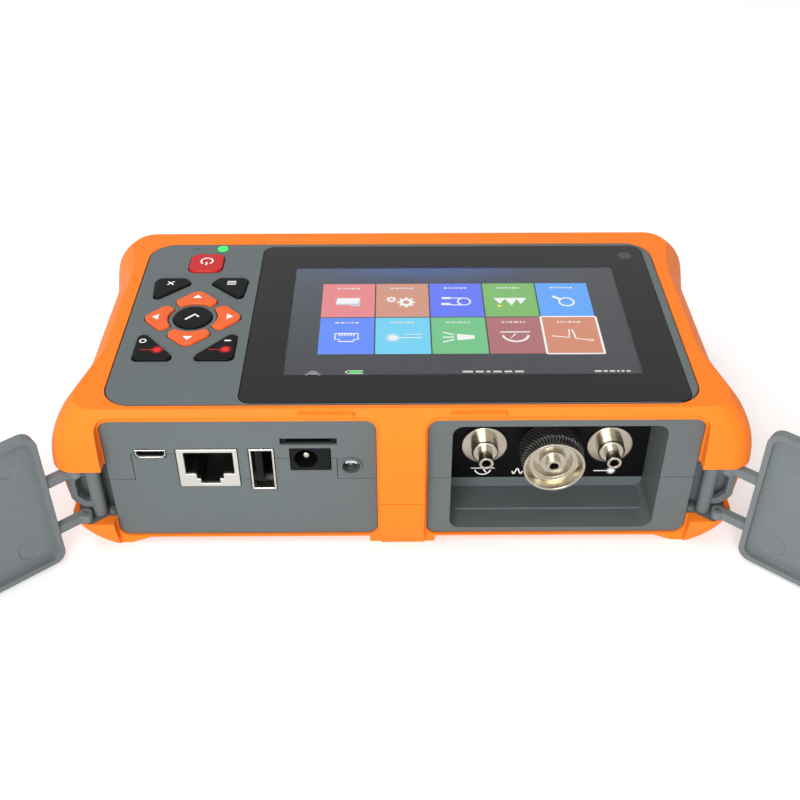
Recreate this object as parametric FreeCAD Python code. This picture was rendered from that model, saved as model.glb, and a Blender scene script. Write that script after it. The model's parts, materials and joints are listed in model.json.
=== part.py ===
import FreeCAD, Part
import math
import os
from FreeCAD import Vector

# Hand-held optical time domain reflectometer, lying on its back with the screen up.
# +X is to the right of the connector end, +Y runs away from it, +Z is out of the screen.
# The origin is on the rubber crossbar of the back, at the middle of the body, at z = 0.

# ---------------------------------------------------------------- body
BODY_FRONT = -50.4          # front of the corner bumpers and of the centre column
BODY_TOP = 48.0
BUMPER_WALL = 11.9          # rubber outside the casing at the front bumpers
WAIST_WALL = 7.85
TAIL_WALL = 12.4            # the same at the rear corners, where the sides flare out
BACK_WALL = 7.0
BUMPER_LONG = 11.5          # from the front to where the bumpers turn in
BUMPER_RAMP = 17.7
TAIL_LONG = 24.0            # length of the flare at the rear
FRONT_CORNER_R = 6.5
BUMPER_BEND_R = 14.0
WAIST_BEND_R = 40.0
TAIL_CORNER_R = 6.6
SIDE_ROLL = 7.8             # how far the sides roll in at the top and bottom edges
FRONT_ROLL = 3.2
BACK_ROLL = 5.8
ROLL_POWER = 3.2            # how late the roll starts: higher is squarer
LOFT_LEVELS = (-1.0, -0.95, -0.87, -0.72, -0.45, 0.0, 0.45, 0.72, 0.87, 0.95, 1.0)
FIT_GAP = 0.1               # clearance between pieces that seat on each other
OVERCUT = 1.0               # how far a cutting tool runs past the face that it opens
JACKET_SPLIT_Z = 17.4
JACKET_SPLIT_GAP = 0.2

# ---------------------------------------------------------------- screen
GLASS_THICK = 0.8
GLASS_CORNER_R = 3.5
GLASS_CHAMFER = 0.15
GLASS_GAP = 0.15
GLASS_SIDE_MARGIN = 2.3     # deck beside, in front of and behind the glass
GLASS_FRONT_MARGIN = 0.5
GLASS_BACK_MARGIN = 1.3
ADHESIVE = 0.2
LCD_WIDE = 100.2
LCD_LONG = 59.2
LCD_THICK = 3.8
LCD_LEFT = 8.4              # border of the glass left of the display
LCD_RIGHT = 7.8             # and on its other sides
LCD_NEAR = 9.9
LCD_FAR = 9.3
LCD_GAP = 0.3
LCD_RIM = 3.0               # folded edge of the display's frame
LCD_RIM_HIGH = 0.2
CABLE_WIDTH = 22.0
CABLE_THICK = 0.3
CABLE_REACH = 3.0
CABLE_TAIL = 8.0
CABLE_FOOT = 6.0
GLASS_WIDE = LCD_LEFT + LCD_WIDE + LCD_RIGHT
GLASS_LONG = LCD_NEAR + LCD_LONG + LCD_FAR

# ---------------------------------------------------------------- keys
KEY_PROUD = 0.6
KEY_TRAVEL = 0.7
KEY_GAP = 0.25
KEY_FLANGE = 0.8
KEY_FLANGE_WIDE = 0.7
KEY_EDGE_R = 0.4
SELECT_R = 5.4
ARROW_IN = 7.0              # inner arc of the arrow keys
ARROW_TIP = 14.4
ARROW_WING = (8.2, 6.6)     # widest point of an arrow key, outwards and along
ARROW_ROOT = (5.2, 3.9)     # where its sides meet the round hollow
ARROW_TIP_R = 2.6
ARROW_WING_R = 1.9
ARROW_ROOT_R = 0.8
POWER_AHEAD = 29.6          # from the pad's middle to the power key
POWER_SIZE = 10.0
POWER_CORNER_R = 2.4
LIGHT_AHEAD = 8.8           # from the power key to the status light
LIGHT_RIGHT = 3.8
LIGHT_R = 1.6
LIGHT_PROUD = 0.15
LIGHT_AIR = 0.4
OUTSET_SHARE = 1.5          # how far a key's corners move out when its outline grows
ARROW_TURNS = {"key_right": 0.0, "key_up": 90.0, "key_left": 180.0, "key_down": 270.0}
UPPER_KEY = (               # corners of an outer key as (x, y, radius) from the pad's middle
    (13.8, 20.8, 2.0), (12.8, 8.6, 1.4), (2.8, 17.9, 1.5), (5.0, 20.8, 1.8))
LOWER_KEY = (
    (13.6, -20.4, 1.8), (3.4, -20.4, 1.4), (3.2, -18.2, 1.2), (11.4, -8.6, 1.3), (13.6, -8.6, 1.3))
CORNER_KEYS = {             # the outline of each outer key and the side that it is on
    "key_escape": (UPPER_KEY, -1), "key_setup": (UPPER_KEY, 1),
    "key_auto": (LOWER_KEY, -1), "key_mark": (LOWER_KEY, 1)}
KEY_NAMES = ("key_power", "key_select", *ARROW_TURNS, *CORNER_KEYS)
MAT_WIDE = 29.8
MAT_LONG = 62.0
MAT_THICK = 1.2
MAT_AIR = 0.3
MAT_CORNER_R = 6.0
MAT_SIDE_MARGIN = 3.0       # deck beside the mat, and between the mat and the glass
MAT_GLASS_MARGIN = 1.9
MAT_BACK_MARGIN = 2.2
PAD_AHEAD = 23.3            # from the mat's front edge to the middle of the pad
KEY_BOARD_THICK = 1.6

# ---------------------------------------------------------------- casing
DECK_HALF = (
    MAT_SIDE_MARGIN + MAT_WIDE + MAT_GLASS_MARGIN + GLASS_WIDE + GLASS_SIDE_MARGIN) / 2
DECK_FRONT = BODY_FRONT + 4.9
DECK_BACK = DECK_FRONT + GLASS_FRONT_MARGIN + GLASS_LONG + GLASS_BACK_MARGIN
DECK_CORNER_R = 7.5
DECK_GROOVE = 0.35          # gap all round between the deck and the rubber
SHOULDER_WIDE = 3.8         # casing outside the deck, under the rubber's lip
SHOULDER_BACK = 5.8
SHOULDER_DROP = 2.6
CASE_HALF = DECK_HALF + SHOULDER_WIDE
CASE_FRONT = BODY_FRONT + 5.8
CASE_BACK = DECK_BACK + SHOULDER_BACK
CASE_BOTTOM = 2.6
CASE_TOP = BODY_TOP
CASE_SHOULDER = CASE_TOP - SHOULDER_DROP
CASE_CORNER_R = 9.0
CASE_WALL = 2.0
CASE_SPLIT_Z = 23.0
CASE_SPLIT_GAP = 0.15
BUMPER_HALF = CASE_HALF + BUMPER_WALL
WAIST_HALF = CASE_HALF + WAIST_WALL
TAIL_HALF = CASE_HALF + TAIL_WALL
BODY_BACK = CASE_BACK + BACK_WALL
FAR = 2 * BUMPER_HALF       # reach of a cutting tool that has to clear the whole body

DECK_UNDER = CASE_TOP - CASE_WALL
GLASS_LOW = CASE_TOP - GLASS_THICK
GLASS_SEAT = GLASS_LOW - ADHESIVE
GLASS_RIGHT = DECK_HALF - GLASS_SIDE_MARGIN
GLASS_NEAR = DECK_FRONT + GLASS_FRONT_MARGIN
GLASS_X = (GLASS_RIGHT - GLASS_WIDE, GLASS_RIGHT)
GLASS_Y = (GLASS_NEAR, GLASS_NEAR + GLASS_LONG)
LCD_X = (GLASS_X[0] + LCD_LEFT, GLASS_X[0] + LCD_LEFT + LCD_WIDE)
LCD_Y = (GLASS_Y[0] + LCD_NEAR, GLASS_Y[0] + LCD_NEAR + LCD_LONG)
CABLE_X = ((sum(LCD_X) - CABLE_WIDTH) / 2, (sum(LCD_X) + CABLE_WIDTH) / 2)
LCD_TOP = GLASS_LOW - FIT_GAP
LCD_LOW = LCD_TOP - LCD_THICK
MAT_X = (MAT_SIDE_MARGIN - DECK_HALF, MAT_SIDE_MARGIN - DECK_HALF + MAT_WIDE)
MAT_Y = (DECK_BACK - MAT_BACK_MARGIN - MAT_LONG, DECK_BACK - MAT_BACK_MARGIN)
PAD_X = sum(MAT_X) / 2
PAD_Y = MAT_Y[0] + PAD_AHEAD
POWER_Y = PAD_Y + POWER_AHEAD
LIGHT_X = PAD_X + LIGHT_RIGHT
LIGHT_Y = POWER_Y + LIGHT_AHEAD
KEY_TOP = CASE_TOP + KEY_PROUD
FLANGE_TOP = DECK_UNDER - FIT_GAP
FLANGE_LOW = FLANGE_TOP - KEY_FLANGE
MAT_TOP = FLANGE_LOW - KEY_TRAVEL - MAT_AIR
MAT_LOW = MAT_TOP - MAT_THICK
KEY_BOARD_LOW = MAT_LOW - KEY_BOARD_THICK

# ---------------------------------------------------------------- bays and their panels
PANEL_FACE = BODY_FRONT + 4.3
PANEL_OUT = CASE_HALF - 2.3         # |x| of the panels' outer edges
PANEL_LEFT = -PANEL_OUT
MICRO_X = (PANEL_LEFT + 8.1, PANEL_LEFT + 16.1)
JACK_IN = 18.8              # from the panel's left edge to the network socket
JACK_WIDE = 16.0
JACK_X = (PANEL_LEFT + JACK_IN, PANEL_LEFT + JACK_IN + JACK_WIDE)
USB_X = (JACK_X[1] + 3.1, JACK_X[1] + 9.6)
CARD_X = (USB_X[1] + 2.1, USB_X[1] + 16.5)
POWER_JACK_X = (CARD_X[0] + 2.3, CARD_X[0] + 12.7)
TORCH_X = POWER_JACK_X[1] + 5.5
TORCH_MARGIN = 6.7          # panel beside the torch
PANEL_IN = -TORCH_X - TORCH_MARGIN  # |x| of the panels' inner edges
PANEL_LOW = 2.8
PANEL_HIGH = BODY_TOP - 4.6
PANEL_CORNER_R = 3.0
SEAT_FACE = BODY_FRONT + 3.6    # rubber ledge that the doors close on
SEAT_IN = PANEL_IN - 0.8
SEAT_OUT = PANEL_OUT + 0.4
SEAT_HIGH = PANEL_HIGH + 2.3
SEAT_CORNER_R = 4.0
LATCH_X = (12.2, 26.5)
LATCH_Z = (SEAT_HIGH + 0.4, SEAT_HIGH + 1.6)
LATCH_FACE = BODY_FRONT + 1.5
LATCH_R = 0.5
BACK_RELIEF = 1.3           # the back is this much higher between its feet
RELIEF_IN = 9.0
RELIEF_OUT = CASE_HALF - 8.5
LIFT_LOW = 2.1              # the front strip under each bay ends this high
LIFT_BACK = CASE_FRONT - 0.3
LIFT_RAMP = (RELIEF_OUT - 2.0, RELIEF_OUT + 3.5)    # where it ramps down to the foot

# ---------------------------------------------------------------- corner slots and hinges
SLOT_IN = PANEL_OUT + 0.2
SLOT_BACK = BODY_FRONT + 9.4
SLOT_LOW = 9.8
SLOT_HIGH = 29.4
SLOT_R = 0.8
LUG_THICK = 2.4
LUG_SKIN = 0.4              # least rubber over the lugs
LUG_CORNER_R = 0.3
LUG_BACK_R = 0.5
LUG_SHOULDER_R = 1.0
BRACKET_WALL = 2.0
BRACKET_OUT = BUMPER_HALF - 2.9
HINGE_X = BUMPER_HALF - 6.2
HINGE_Y = BODY_FRONT + 2.5
HINGE_PIN_R = 0.75
HINGE_LUG_R = 1.5
HINGE_RUN = 0.06            # radial running clearance of the hinge knuckles
KNUCKLE_R = 1.75
KNUCKLE_HIGH = 2.5
KNUCKLE_AIR = 0.3
PIN_HOLD = LUG_THICK - 0.5  # length of a pin inside its lug
DOOR_OPEN_DEG = 140.0
LOOP_X = HINGE_X - 3.3
LOOP_Y = HINGE_Y + 2.9
LOOP_BARREL_R = 1.9
LOOP_PIN_R = 0.8
LOOP_RUN = 0.06
LOOP_REACH = 6.9            # from the barrel's axis to the outside of the bar
LOOP_BAR = 1.9
LOOP_THICK = 1.7
LOOP_LOW = SLOT_LOW + 3.1
LOOP_HIGH = SLOT_HIGH - 3.3
LOOP_SLANT = 3.0
LOOP_CORNER_R = 2.0
LOOP_INNER_R = 1.0
LOOP_ROOT_R = 0.6
SLOT_BOSS_X = SLOT_IN + 1.3
SLOT_BOSS_Y = PANEL_FACE + 1.7
SLOT_BOSS_R = 1.0
SLOT_BOSS_HIGH = 1.2

# ---------------------------------------------------------------- doors, as closed
DOOR_IN = SEAT_IN + 0.5
DOOR_OUT = SEAT_OUT - 0.5
DOOR_LOW = 1.2
DOOR_HIGH = SEAT_HIGH - 0.5
DOOR_FACE = BODY_FRONT
DOOR_SKIN = 1.5
DOOR_RIM = 1.5
DOOR_SEAT_GAP = 0.15
DOOR_CORNER_R = 3.5
DOOR_INNER_R = 2.5
DOOR_EDGE_R = 0.8
EAR_INNER = HINGE_Y + 0.5
EAR_OUTER = HINGE_Y - 1.8
EJECTOR_MARK_R = 3.2
EJECTOR_MARK_DEEP = 0.15
EJECTOR_MARK_INSET = (8.4, 7.5)     # from the door's edges to the outer marks, in x and z

# ---------------------------------------------------------------- main board and ports
BOARD_LOW = BODY_TOP - 14.4
BOARD_THICK = 1.5
BOARD_TOP = BOARD_LOW + BOARD_THICK
BOARD_HALF = CASE_HALF - 10.0
BOARD_FRONT = CASE_FRONT + 2.3
BOARD_BACK = CASE_BACK - 8.5
BOARD_NOTCH_LONG = 18.3     # notch that clears the connector bay
BOARD_NOTCH_X = PANEL_IN + 2.7
BOARD_SCREW_X = (31.0 - BOARD_HALF, CABLE_X[0] - 7.0, BOARD_HALF - 4.5)
BOARD_SCREW_Y = BOARD_BACK - 4.5
BOARD_POST_R = 2.4
PORT_GAP = 0.25
PORT_TOP = BOARD_LOW - FIT_GAP      # the sockets hang from the board's underside
JACK_Z = (PORT_TOP - 12.85, PORT_TOP)
JACK_PROUD = 0.15
JACK_DEEP = 21.0
JACK_MOUTH_X = (JACK_X[0] + 1.8, JACK_X[1] - 1.2)
JACK_MOUTH_Z = (JACK_Z[1] - 8.5, JACK_Z[1] - 1.0)
JACK_MOUTH_DEEP = 14.0
JACK_STEPS = ((2.8, 10.0, 1.7), (3.8, 8.9, 3.3))    # narrower steps below the mouth, and how deep
CONTACTS = 8
CONTACT_PITCH = 1.083
CONTACT_R = 0.2
CONTACT_LONG = 7.0
CONTACT_DROP = 2.8
CONTACT_RISE = 1.9
USB_Z = (PORT_TOP - 14.1, PORT_TOP)
USB_PROUD = 0.1
USB_DEEP = 18.0
USB_WALL = 0.5
USB_BACK_WALL = 1.0
USB_TONGUE = 2.0
USB_TONGUE_HIGH = 10.2
USB_TONGUE_SIDE = 0.7
USB_TONGUE_BACK = 1.2
MICRO_Z = (PORT_TOP - 2.6, PORT_TOP)
MICRO_DEEP = 5.5
MICRO_WALL = 0.3
MICRO_PROUD = 0.2
MICRO_CUT_R = 0.8
STEP_MARGIN = 1.1           # wall of the lower casing beside and above the micro socket
MICRO_CHAMFER = 0.9
MICRO_TONGUE_INSET = 1.7
MICRO_TONGUE_BACK = 0.8
MICRO_TONGUE = (0.7, 1.25)          # its levels below the socket's top
CARD_Z = (BOARD_TOP + 0.05, BOARD_TOP + 1.8)
CARD_BACK = 0.6
CARD_DEEP = 15.0
CARD_SLOT_HIGH = 1.0
CARD_SLOT_DEEP = 12.0
CARD_SLOT_WIDE = 11.6
POWER_JACK_Z = (PORT_TOP - 7.2, PORT_TOP)
POWER_JACK_DEEP = 14.0
POWER_JACK_PROUD = 0.1
POWER_JACK_HOLE_X = POWER_JACK_X[0] + 4.0
POWER_JACK_HOLE_Z = POWER_JACK_Z[0] + 3.9
POWER_JACK_HOLE_R = 3.1
POWER_JACK_PIN_R = 1.0
POWER_JACK_PIN_BACK = 1.2
POWER_JACK_PIN_END = 13.0
POWER_JACK_PIN_NOSE = 0.6   # rounding of its tip, as a share of its radius
POWER_JACK_BORE_DEEP = 9.5
TORCH_Z = POWER_JACK_Z[0] + 1.4
TORCH_RING_R = 2.9
TORCH_HOLE_R = 2.35
TORCH_LENS_R = 1.6
TORCH_PROUD = 0.5
TORCH_STEM = 5.0
TORCH_BACK = 1.0
TORCH_COLLAR = 1.1

# ---------------------------------------------------------------- connector bay
RECESS_X = (PANEL_IN + 6.3, PANEL_OUT - 9.0)
RECESS_Z = (PANEL_LOW + 1.6, PANEL_HIGH - 2.6)
RECESS_BACK = PANEL_FACE + 16.6
RECESS_CORNER_R = 3.0
TUB_WALL = 1.0
TUB_BACK_WALL = 1.6
FLOOR_STEP = 0.5
FLOOR_STEP_LONG = 9.3
PLATE_THICK = 1.0
PLATE_LOW = RECESS_Z[0] + 4.7
PLATE_GAP = 0.2
PLATE_FACE = RECESS_BACK - PLATE_THICK
TUB_BACK = RECESS_BACK + TUB_BACK_WALL
AXIS_Z = RECESS_Z[0] + 17.3
FIBRE_X = sum(RECESS_X) / 2 + 0.35
METER_X = FIBRE_X - 18.4
LASER_X = FIBRE_X + 16.7
FERRULE_BORE_R = 1.26       # takes a 2.5 mm ferrule
SMALL_FLANGE_R = 6.3
SMALL_FLANGE_THICK = 0.8
SMALL_BODY_R = 3.75
SMALL_BODY_FRONT = PLATE_FACE - 4.1
SMALL_SLEEVE_R = 2.0
SMALL_SLEEVE_FRONT = PLATE_FACE - 8.5
SMALL_SHANK_R = 3.4
SMALL_SHOULDER_R = 0.7
NUT_R = 8.75
NUT_BACK = PLATE_FACE - 0.7
NUT_LONG = 6.4
NUT_FRONT = NUT_BACK - NUT_LONG
NUT_BORE_R = 6.2
NUT_RUN = 0.08
NUT_CHAMFER = 0.5
KNURLS = 40
KNURL_R = 0.32
KNURL_OUT = 0.4             # how far out the groove tool sits, as a share of its radius
CUP_R = 8.45
CUP_NECK_R = 7.3
CUP_FRONT = NUT_FRONT - 3.2
CUP_WALL = 0.7
CUP_FLOOR = NUT_FRONT + 1.2
HUB_R = 3.55
HUB_FRONT = CUP_FLOOR - 2.2
SLEEVE_R = 2.0
SLEEVE_FRONT = CUP_FRONT + 0.6

# ---------------------------------------------------------------- inside
CELL_R = 9.2
BATTERY_LONG = 65.0
BATTERY_X = (-BOARD_HALF + 0.5, -BOARD_HALF + 0.5 + BATTERY_LONG)
BATTERY_MIDDLE = BOARD_BACK - 1.1 - 2 * CELL_R
BATTERY_LOW = 5.4
SPOOL_R = 15.0
SPOOL_Y = BOARD_BACK + 1.0 - SPOOL_R
SPOOL_GAP = 3.0             # between the spool and the module
SPOOL_HOLE_R = 10.0
SPOOL_HIGH = 9.0
SPOOL_LOW = BATTERY_LOW + 2.0
MODULE_X = (FIBRE_X - 11.0, FIBRE_X + 11.0)
MODULE_Y = (TUB_BACK + 6.9, SPOOL_Y - SPOOL_R - SPOOL_GAP)
MODULE_Z = (12.0, 31.5)
MODULE_CORNER_R = 1.0
MODULE_NOSE_R = 3.0
OPTIC_GAP = 0.5             # behind the shanks of the optical connectors
SHANK_PROUD = 1.0           # shanks of the small adapters behind the tub
LASER_R = 4.5
LASER_LONG = 17.0
DETECTOR_R = 5.0
DETECTOR_LONG = 8.0
SPEAKER_R = 7.0
SPEAKER_X = BOARD_HALF - 10.5
SPEAKER_Y = BOARD_BACK - 16.0
SPEAKER_HIGH = 4.0
POST_X = CASE_HALF - 5.7
POST_Y = (CASE_FRONT + 8.1, CASE_BACK - 6.0)
POST_R = 2.9
SCREW_R = 1.3
SCREW_HEAD_R = 2.4
SCREW_HEAD = 1.6
SCREW_LONG = 9.0
SCREW_SLOT = 0.6            # width of the drive slots
SCREW_SLOT_SHARE = 0.6      # their reach, as a share of the head's radius
SCREW_GAP = 0.2             # clearance round heads, and round shanks in the board
SCREW_SEAT_Z = CASE_SPLIT_Z - SCREW_LONG / 2

# ---------------------------------------------------------------- back
WINDOW_IN = RELIEF_IN + 3.0         # |x| of the windows in the rubber back
WINDOW_OUT = RELIEF_OUT - 6.0
WINDOW_Y = (CASE_FRONT + 16.6, CASE_BACK - 8.5)
WINDOW_R = 5.0
COVER_X = (3.0 - WINDOW_OUT, -3.0 - WINDOW_IN)
COVER_Y = (WINDOW_Y[0] + 18.0, WINDOW_Y[1] - 3.0)
COVER_THICK = 2.0
COVER_LIP = 1.5
COVER_GAP = 0.2
COVER_R = 3.0
COVER_SCREW_INSET = 3.6
COVER_SCREW_SEAT = 0.7
COVER_SCREW_LONG = 2.5
COVER_SEAT = BACK_RELIEF + COVER_THICK
STAND_X = (WINDOW_IN + 4.0, WINDOW_OUT - 4.0)
STAND_Y = (WINDOW_Y[0] + 4.0, WINDOW_Y[1] - 5.0)
STAND_THICK = 2.6
STAND_GAP = 0.3
STAND_R = 4.0
STAND_PIN_R = 0.6
STAND_PIN_HOLD = 2.0
STAND_RUN = 0.06
STAND_NOTCH_R = 6.0
STAND_BAR = 6.0
STAND_POCKET_WALL = 2.5
STAND_POCKET_ROOF = 1.6
STAND_PIN_Y = STAND_Y[1] - STAND_THICK / 2
STAND_PIN_Z = BACK_RELIEF + FIT_GAP + STAND_THICK / 2

X_AXIS = Vector(1, 0, 0)
Y_AXIS = Vector(0, 1, 0)
Z_AXIS = Vector(0, 0, 1)
ORIGIN = Vector(0, 0, 0)


# ---------------------------------------------------------------- helpers
def block(x_span, y_span, z_span):
    """Box between three pairs of limits."""
    corner = Vector(x_span[0], y_span[0], z_span[0])
    return Part.makeBox(x_span[1] - x_span[0], y_span[1] - y_span[0], z_span[1] - z_span[0], corner)


def edges_along(solid, axis):
    """Straight edges of a solid that run along an axis."""
    picked = []
    for edge in solid.Edges:
        run = edge.valueAt(edge.LastParameter) - edge.valueAt(edge.FirstParameter)
        if run.Length > 0 and abs(run.dot(axis)) > 0.999 * run.Length:
            picked.append(edge)
    return picked


def rounded_block(x_span, y_span, z_span, radius, axis):
    """Box whose four edges along one axis are rounded."""
    solid = block(x_span, y_span, z_span)
    return solid.makeFillet(radius, edges_along(solid, axis))


def rod(start, axis, radius, length):
    return Part.makeCylinder(radius, length, start, axis)


def tube(start, axis, outer, inner, length):
    return rod(start, axis, outer, length).cut(rod(start, axis, inner, length))


def grow(span, amount):
    return (span[0] - amount, span[1] + amount)


def mirrored(shape):
    """The same piece on the other side of the body."""
    return shape.mirror(ORIGIN, X_AXIS)


def both_sides(shape):
    return [shape, mirrored(shape)]


def fuse(first, others):
    return first.multiFuse(list(others)).removeSplitter()


def largest(shape):
    """The main solid of a cut, without slivers."""
    return max(shape.Solids, key=lambda solid: solid.Volume)


def corner_arc(before, point, after, radius):
    """Tangent arc that rounds one corner of a flat outline, as its two ends and its middle."""
    back = (before - point).normalize()
    ahead = (after - point).normalize()
    half = back.getAngle(ahead) / 2
    reach = radius / math.tan(half)
    middle_way = (back + ahead).normalize()
    centre = point + middle_way * (radius / math.sin(half))
    return point + back * reach, centre - middle_way * radius, point + ahead * reach


def rounded_outline(corners):
    """Closed wire through (point, radius) corners, each rounded by a tangent arc."""
    count = len(corners)
    arcs = []
    for index, (point, radius) in enumerate(corners):
        before = corners[index - 1][0]
        after = corners[(index + 1) % count][0]
        arcs.append(corner_arc(before, point, after, radius))
    edges = []
    for index, arc in enumerate(arcs):
        edges.append(Part.Arc(*arc).toShape())
        following = arcs[(index + 1) % count]
        edges.append(Part.LineSegment(arc[2], following[0]).toShape())
    return Part.Wire(edges)


def prism(corners, z_span):
    """Upright prism over a rounded outline given as (x, y, radius)."""
    outline = [(Vector(x, y, z_span[0]), radius) for x, y, radius in corners]
    return Part.Face(rounded_outline(outline)).extrude(Z_AXIS * (z_span[1] - z_span[0]))


# ---------------------------------------------------------------- body form
def body_section(level, inset):
    """Plan outline of the body at one level, drawn in by an inset."""
    rolled = abs(level) ** ROLL_POWER
    side = inset + SIDE_ROLL * rolled
    front = BODY_FRONT + inset + FRONT_ROLL * rolled
    back = BODY_BACK - inset - BACK_ROLL * rolled
    height = BODY_TOP * (level + 1) / 2
    bumper_end = BODY_FRONT + BUMPER_LONG
    half = [
        (BUMPER_HALF - side, front, FRONT_CORNER_R),
        (BUMPER_HALF - side, bumper_end, BUMPER_BEND_R),
        (WAIST_HALF - side, bumper_end + BUMPER_RAMP, WAIST_BEND_R),
        (WAIST_HALF - side, BODY_BACK - TAIL_LONG, WAIST_BEND_R),
        (TAIL_HALF - side, back, TAIL_CORNER_R),
    ]
    corners = [(Vector(x, y, height), radius) for x, y, radius in half]
    corners += [(Vector(-x, y, height), radius) for x, y, radius in reversed(half)]
    return rounded_outline(corners)


def body_form(inset):
    """Barrel-sided outer form of the whole body, before any opening."""
    sections = [body_section(level, inset) for level in LOFT_LEVELS]
    return Part.makeLoft(sections, True, False)


# ---------------------------------------------------------------- casing
def bay_panel(y_span, spread):
    """Right-hand bay panel, rounded at its corners and grown by a spread."""
    return rounded_block(
        (PANEL_IN - spread, PANEL_OUT + spread), y_span,
        (PANEL_LOW - spread, PANEL_HIGH + spread), PANEL_CORNER_R + spread, Y_AXIS)


def lug_outline(spread, back):
    """Plan of the lugs that carry the hinge pin and the strap loop's pin."""
    inner = SLOT_IN - BRACKET_WALL - spread
    flush = PANEL_FACE + FIT_GAP - spread
    lug_front = HINGE_Y - HINGE_LUG_R - spread
    lug_r = HINGE_LUG_R - FIT_GAP
    return [
        (inner, back, LUG_CORNER_R),
        (BRACKET_OUT + spread, back, LUG_CORNER_R),
        (BRACKET_OUT + spread, SLOT_BACK - LUG_SHOULDER_R - spread, LUG_BACK_R),
        (HINGE_X + HINGE_LUG_R + spread, HINGE_Y, LUG_SHOULDER_R),
        (HINGE_X + HINGE_LUG_R + spread, lug_front, lug_r),
        (HINGE_X - HINGE_LUG_R - spread, lug_front, lug_r),
        (LOOP_X - LOOP_BARREL_R - KNUCKLE_AIR - spread, flush, LUG_SHOULDER_R),
        (inner, flush, LUG_CORNER_R),
    ]


def corner_bracket(spread):
    """Right-hand corner of the casing: two lugs and the wall that joins them behind the slot."""
    back = SLOT_BACK + BRACKET_WALL + spread
    outline = lug_outline(spread, back)
    low = SLOT_LOW - LUG_THICK - spread
    high = SLOT_HIGH + LUG_THICK + spread
    upper = prism(outline, (SLOT_HIGH, high))
    lower = prism(outline, (low, SLOT_LOW))
    wall = block(
        (SLOT_IN - BRACKET_WALL - spread, BRACKET_OUT + spread), (SLOT_BACK, back), (low, high))
    return fuse(wall, [upper, lower]).common(body_form(LUG_SKIN - spread))


def corner_slot(inner):
    """Right-hand corner opening, where the strap loop and the hinge sit, from an inner |x|."""
    return rounded_block(
        (inner, FAR), (-FAR, SLOT_BACK), (SLOT_LOW, SLOT_HIGH), SLOT_R, Y_AXIS)


def casing_form(spread):
    """Outside of the casing, grown by a spread where the rubber fits over it."""
    span_x = (-CASE_HALF - spread, CASE_HALF + spread)
    main = rounded_block(
        span_x, (CASE_FRONT - spread, CASE_BACK + spread),
        (CASE_BOTTOM - spread, CASE_SHOULDER + spread), CASE_CORNER_R, Z_AXIS)
    bracket = corner_bracket(spread)
    panel = bay_panel((PANEL_FACE, CASE_FRONT + CASE_WALL), spread)
    pieces = [deck_form(0 if spread == 0 else DECK_GROOVE)]
    pieces += both_sides(bracket)
    pieces += both_sides(panel)
    return fuse(main, pieces)


def deck_form(spread):
    """Raised deck round the screen and the keys."""
    return rounded_block(
        (-DECK_HALF - spread, DECK_HALF + spread), (DECK_FRONT - spread, DECK_BACK + spread),
        (CASE_SHOULDER - CASE_WALL, CASE_TOP), DECK_CORNER_R + spread, Z_AXIS)


def casing_room():
    """Inside of the casing."""
    inner = (-CASE_HALF + CASE_WALL, CASE_HALF - CASE_WALL)
    main = rounded_block(
        inner, (CASE_FRONT + CASE_WALL, CASE_BACK - CASE_WALL),
        (CASE_BOTTOM + CASE_WALL, CASE_SHOULDER - CASE_WALL), CASE_CORNER_R - CASE_WALL, Z_AXIS)
    under_deck = rounded_block(
        (-DECK_HALF + CASE_WALL, DECK_HALF - CASE_WALL),
        (CASE_FRONT + CASE_WALL, DECK_BACK - CASE_WALL),
        (CASE_SHOULDER - 2 * CASE_WALL, DECK_UNDER), DECK_CORNER_R - CASE_WALL, Z_AXIS)
    return main.fuse(under_deck)


def recess(y_span, spread):
    """Room of the connector bay, grown by a spread."""
    return rounded_block(
        grow(RECESS_X, spread), y_span, grow(RECESS_Z, spread), RECESS_CORNER_R + spread, Y_AXIS)


def port_cuts():
    """Openings of the port bay, each a clearance larger than its port."""
    deep = (PANEL_FACE - OVERCUT, CASE_FRONT + CASE_WALL + OVERCUT)
    lens = rod(Vector(TORCH_X, deep[0], TORCH_Z), Y_AXIS, TORCH_HOLE_R, deep[1] - deep[0])
    micro = rounded_block(
        grow(MICRO_X, PORT_GAP), deep, grow(MICRO_Z, PORT_GAP), MICRO_CUT_R, Y_AXIS)
    spans = [
        (JACK_X, JACK_Z), (USB_X, USB_Z), (CARD_X, CARD_Z), (POWER_JACK_X, POWER_JACK_Z)]
    return [lens, micro] + [block(grow(x, PORT_GAP), deep, grow(z, PORT_GAP)) for x, z in spans]


def connector_holes():
    """Holes for the three optical connectors through the plate and the back of the tub."""
    start = PLATE_FACE - OVERCUT
    holes = []
    for x, radius in ((METER_X, SMALL_SHANK_R), (FIBRE_X, NUT_BORE_R), (LASER_X, SMALL_SHANK_R)):
        foot = Vector(x, start, AXIS_Z)
        holes.append(rod(foot, Y_AXIS, radius + FIT_GAP, TUB_BACK + OVERCUT - start))
    return holes


def lower_half(gap):
    """Room of the casing's lower half; its front wall steps up between the ports."""
    front = (PANEL_FACE - OVERCUT, CASE_FRONT + CASE_WALL)
    base = block((-FAR, FAR), (-FAR, FAR), (-OVERCUT, CASE_SPLIT_Z + gap))
    left = (MICRO_X[0] - STEP_MARGIN - gap, sum(JACK_X) / 2)
    right = (sum(USB_X) / 2, CARD_X[1] + gap)
    steps = [
        block(left, front, (0, MICRO_Z[0] + STEP_MARGIN + gap)),
        block(right, front, (0, POWER_JACK_HOLE_Z + gap))]
    return fuse(base, steps)


def key_holes():
    """Holes in the deck, a clearance larger than the key tops."""
    deep = (DECK_UNDER - OVERCUT, CASE_TOP + OVERCUT)
    return [key_outline(name, KEY_GAP, deep) for name in KEY_NAMES]


def post_places():
    return [(side * POST_X, y) for side in (-1, 1) for y in POST_Y]


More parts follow.
